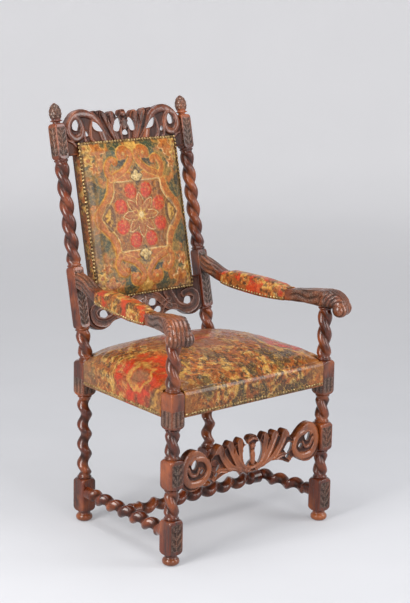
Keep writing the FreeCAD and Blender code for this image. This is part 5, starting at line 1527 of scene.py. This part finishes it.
STUDIO_FLOOR, STUDIO_BEND, STUDIO_TALL, STUDIO_SIDES, PAPER_GLOW = 5.6, 1.6, 7.0, 96, 0.56


def paper_material():
    """Pale paper, painted darker towards the middle of the floor as shade, that also glows a little,
    where the camera or a reflection sees it.
    """
    material, tree, shader = new_material("studio paper")
    place = tree.place()
    away = tree.put("ShaderNodeVectorMath", {0: place}, operation="LENGTH").outputs["Value"]
    # Painted shade: the paper is darker near the middle of the floor and lighter out on the wall.
    paper = tree.mix(tree.span(away, 1.2, 6.5), (176, 177, 181), (223, 223, 226))
    tooth = tree.span(tree.noise(place, 3.0, 2.0), 0.3, 0.7, 0, 0.08)
    tint = tree.mix(tooth, paper, (200, 200, 204))
    seen = tree.put("ShaderNodeLightPath").outputs
    shown = tree.sums("MAXIMUM", seen["Is Camera Ray"], seen["Is Glossy Ray"])
    tree.feed(shader, {"Base Color": tint, "Roughness": 1.0, "Specular IOR Level": 0.0,
                       "Emission Color": tint, "Emission Strength": tree.times(shown, PAPER_GLOW)})
    return material


def studio():
    bend = np.linspace(0, math.pi / 2, 14)
    reach = np.concatenate([[1.0, 2.5, 4.0], STUDIO_FLOOR + STUDIO_BEND * np.sin(bend),
                            [STUDIO_FLOOR + STUDIO_BEND]])
    rise = np.concatenate([[0, 0, 0], STUDIO_BEND * (1 - np.cos(bend)), [STUDIO_TALL]])
    count = STUDIO_SIDES
    way = np.arange(count) / count * 2 * math.pi
    points = [(0.0, 0.0, 0.0)]
    for far, up in zip(reach, rise):
        points += [(far * math.cos(w), far * math.sin(w), up) for w in way]
    faces = [(0, 1 + i, 1 + (i + 1) % count) for i in range(count)]
    for ring in range(len(reach) - 1):
        for i in range(count):
            here, after = 1 + ring * count + i, 1 + ring * count + (i + 1) % count
            faces.append((here, here + count, after + count, after))
    mesh = bpy.data.meshes.new("studio_sweep")
    mesh.from_pydata(points, [], faces)
    mesh.polygons.foreach_set("use_smooth", [True] * len(faces))
    mesh.materials.append(paper_material())
    linked("studio_sweep", mesh)


def aim(name, data, right, up, back, place):
    """A lamp or a camera at a place, looking against its third direction."""
    thing = linked(name, data)
    matrix = np.eye(4)
    matrix[:3, :3], matrix[:3, 3] = np.stack([right, up, back], axis=1), place
    thing.matrix_world = Matrix(matrix.tolist())
    return thing


CAMERA_AZIMUTH, CAMERA_RISE, CAMERA_ROLL = -0.745268, 0.209081, 0.018226
CAMERA_AWAY, CAMERA_LENS, AIM_HEIGHT, AIM_ASIDE = 4.9644, 100.66, 0.67964, 0.015307


def camera():
    a, e, r = CAMERA_AZIMUTH, CAMERA_RISE, CAMERA_ROLL
    back = np.array((math.sin(a) * math.cos(e), -math.cos(a) * math.cos(e), math.sin(e)))
    right = np.cross((0, 0, 1), back)
    right /= np.linalg.norm(right)
    up = np.cross(back, right)
    lens = bpy.data.cameras.new("camera")
    lens.lens, lens.sensor_fit, lens.sensor_height = CAMERA_LENS, "VERTICAL", 36.0
    lens.clip_end = 60
    scene.camera = aim("camera", lens, right * math.cos(r) + up * math.sin(r),
                       up * math.cos(r) - right * math.sin(r), back,
                       np.array((0, MIDDLE_Y, AIM_HEIGHT)) + right * AIM_ASIDE + back * CAMERA_AWAY)
    return right, back


# Each lamp: metres from the seat to the photo's right, towards the camera and up; size, power, tint
LAMPS = (
    ("key", -2.0, 2.3, 1.2, (1.2, 2.2), 104, (1, 0.98, 0.95)),
    ("fill", 1.5, 2.8, 0.8, (0.7, 1.8), 28, (1, 1, 1)),
    ("side", 2.4, 0.4, 0.7, (0.9, 1.8), 26, (1, 1, 1)),
    ("top", 0.0, 0.3, 2.6, (2.0, 2.0), 50, (1, 1, 1)),
)
SEAT_SPOT, AIR_TINT, AIR_POWER = np.array((0, 0, 0.6)), (0.96, 0.95, 0.94, 1), 0.24


def light_studio(right, back):
    """A large soft box to the left, two smaller ones to the right, and one overhead."""
    ahead = np.array((back[0], back[1], 0)) / math.hypot(back[0], back[1])
    for name, aside, near, high, size, power, tint in LAMPS:
        lamp = bpy.data.lights.new(name, "AREA")
        lamp.shape = "RECTANGLE"
        lamp.size, lamp.size_y = size
        lamp.energy, lamp.color = power, tint
        away = right * aside + ahead * near + (0, 0, high)
        away_unit = away / np.linalg.norm(away)
        across = np.cross(-away_unit, (0, 0, 1))
        across /= np.linalg.norm(across)
        aim(name, lamp, across, np.cross(across, -away_unit), away_unit, SEAT_SPOT + away)
    world = bpy.data.worlds.new("studio air")
    world.use_nodes = True
    air = world.node_tree.nodes["Background"].inputs
    air[0].default_value, air[1].default_value = AIR_TINT, AIR_POWER
    scene.world = world
    scene.view_settings.view_transform = "Standard"


view_right, view_back = camera()
light_studio(view_right, view_back)
studio()
dress_cad()
for word, side in SIDES:
    front_leg(word, side)
    back_post(word, side)
    arm_piece(word, side)
    arm_cover(word, side)
all_stretchers()
all_boards()
seat_cushion()
seat_borders()
back_cushion()
back_edges()
all_nails()

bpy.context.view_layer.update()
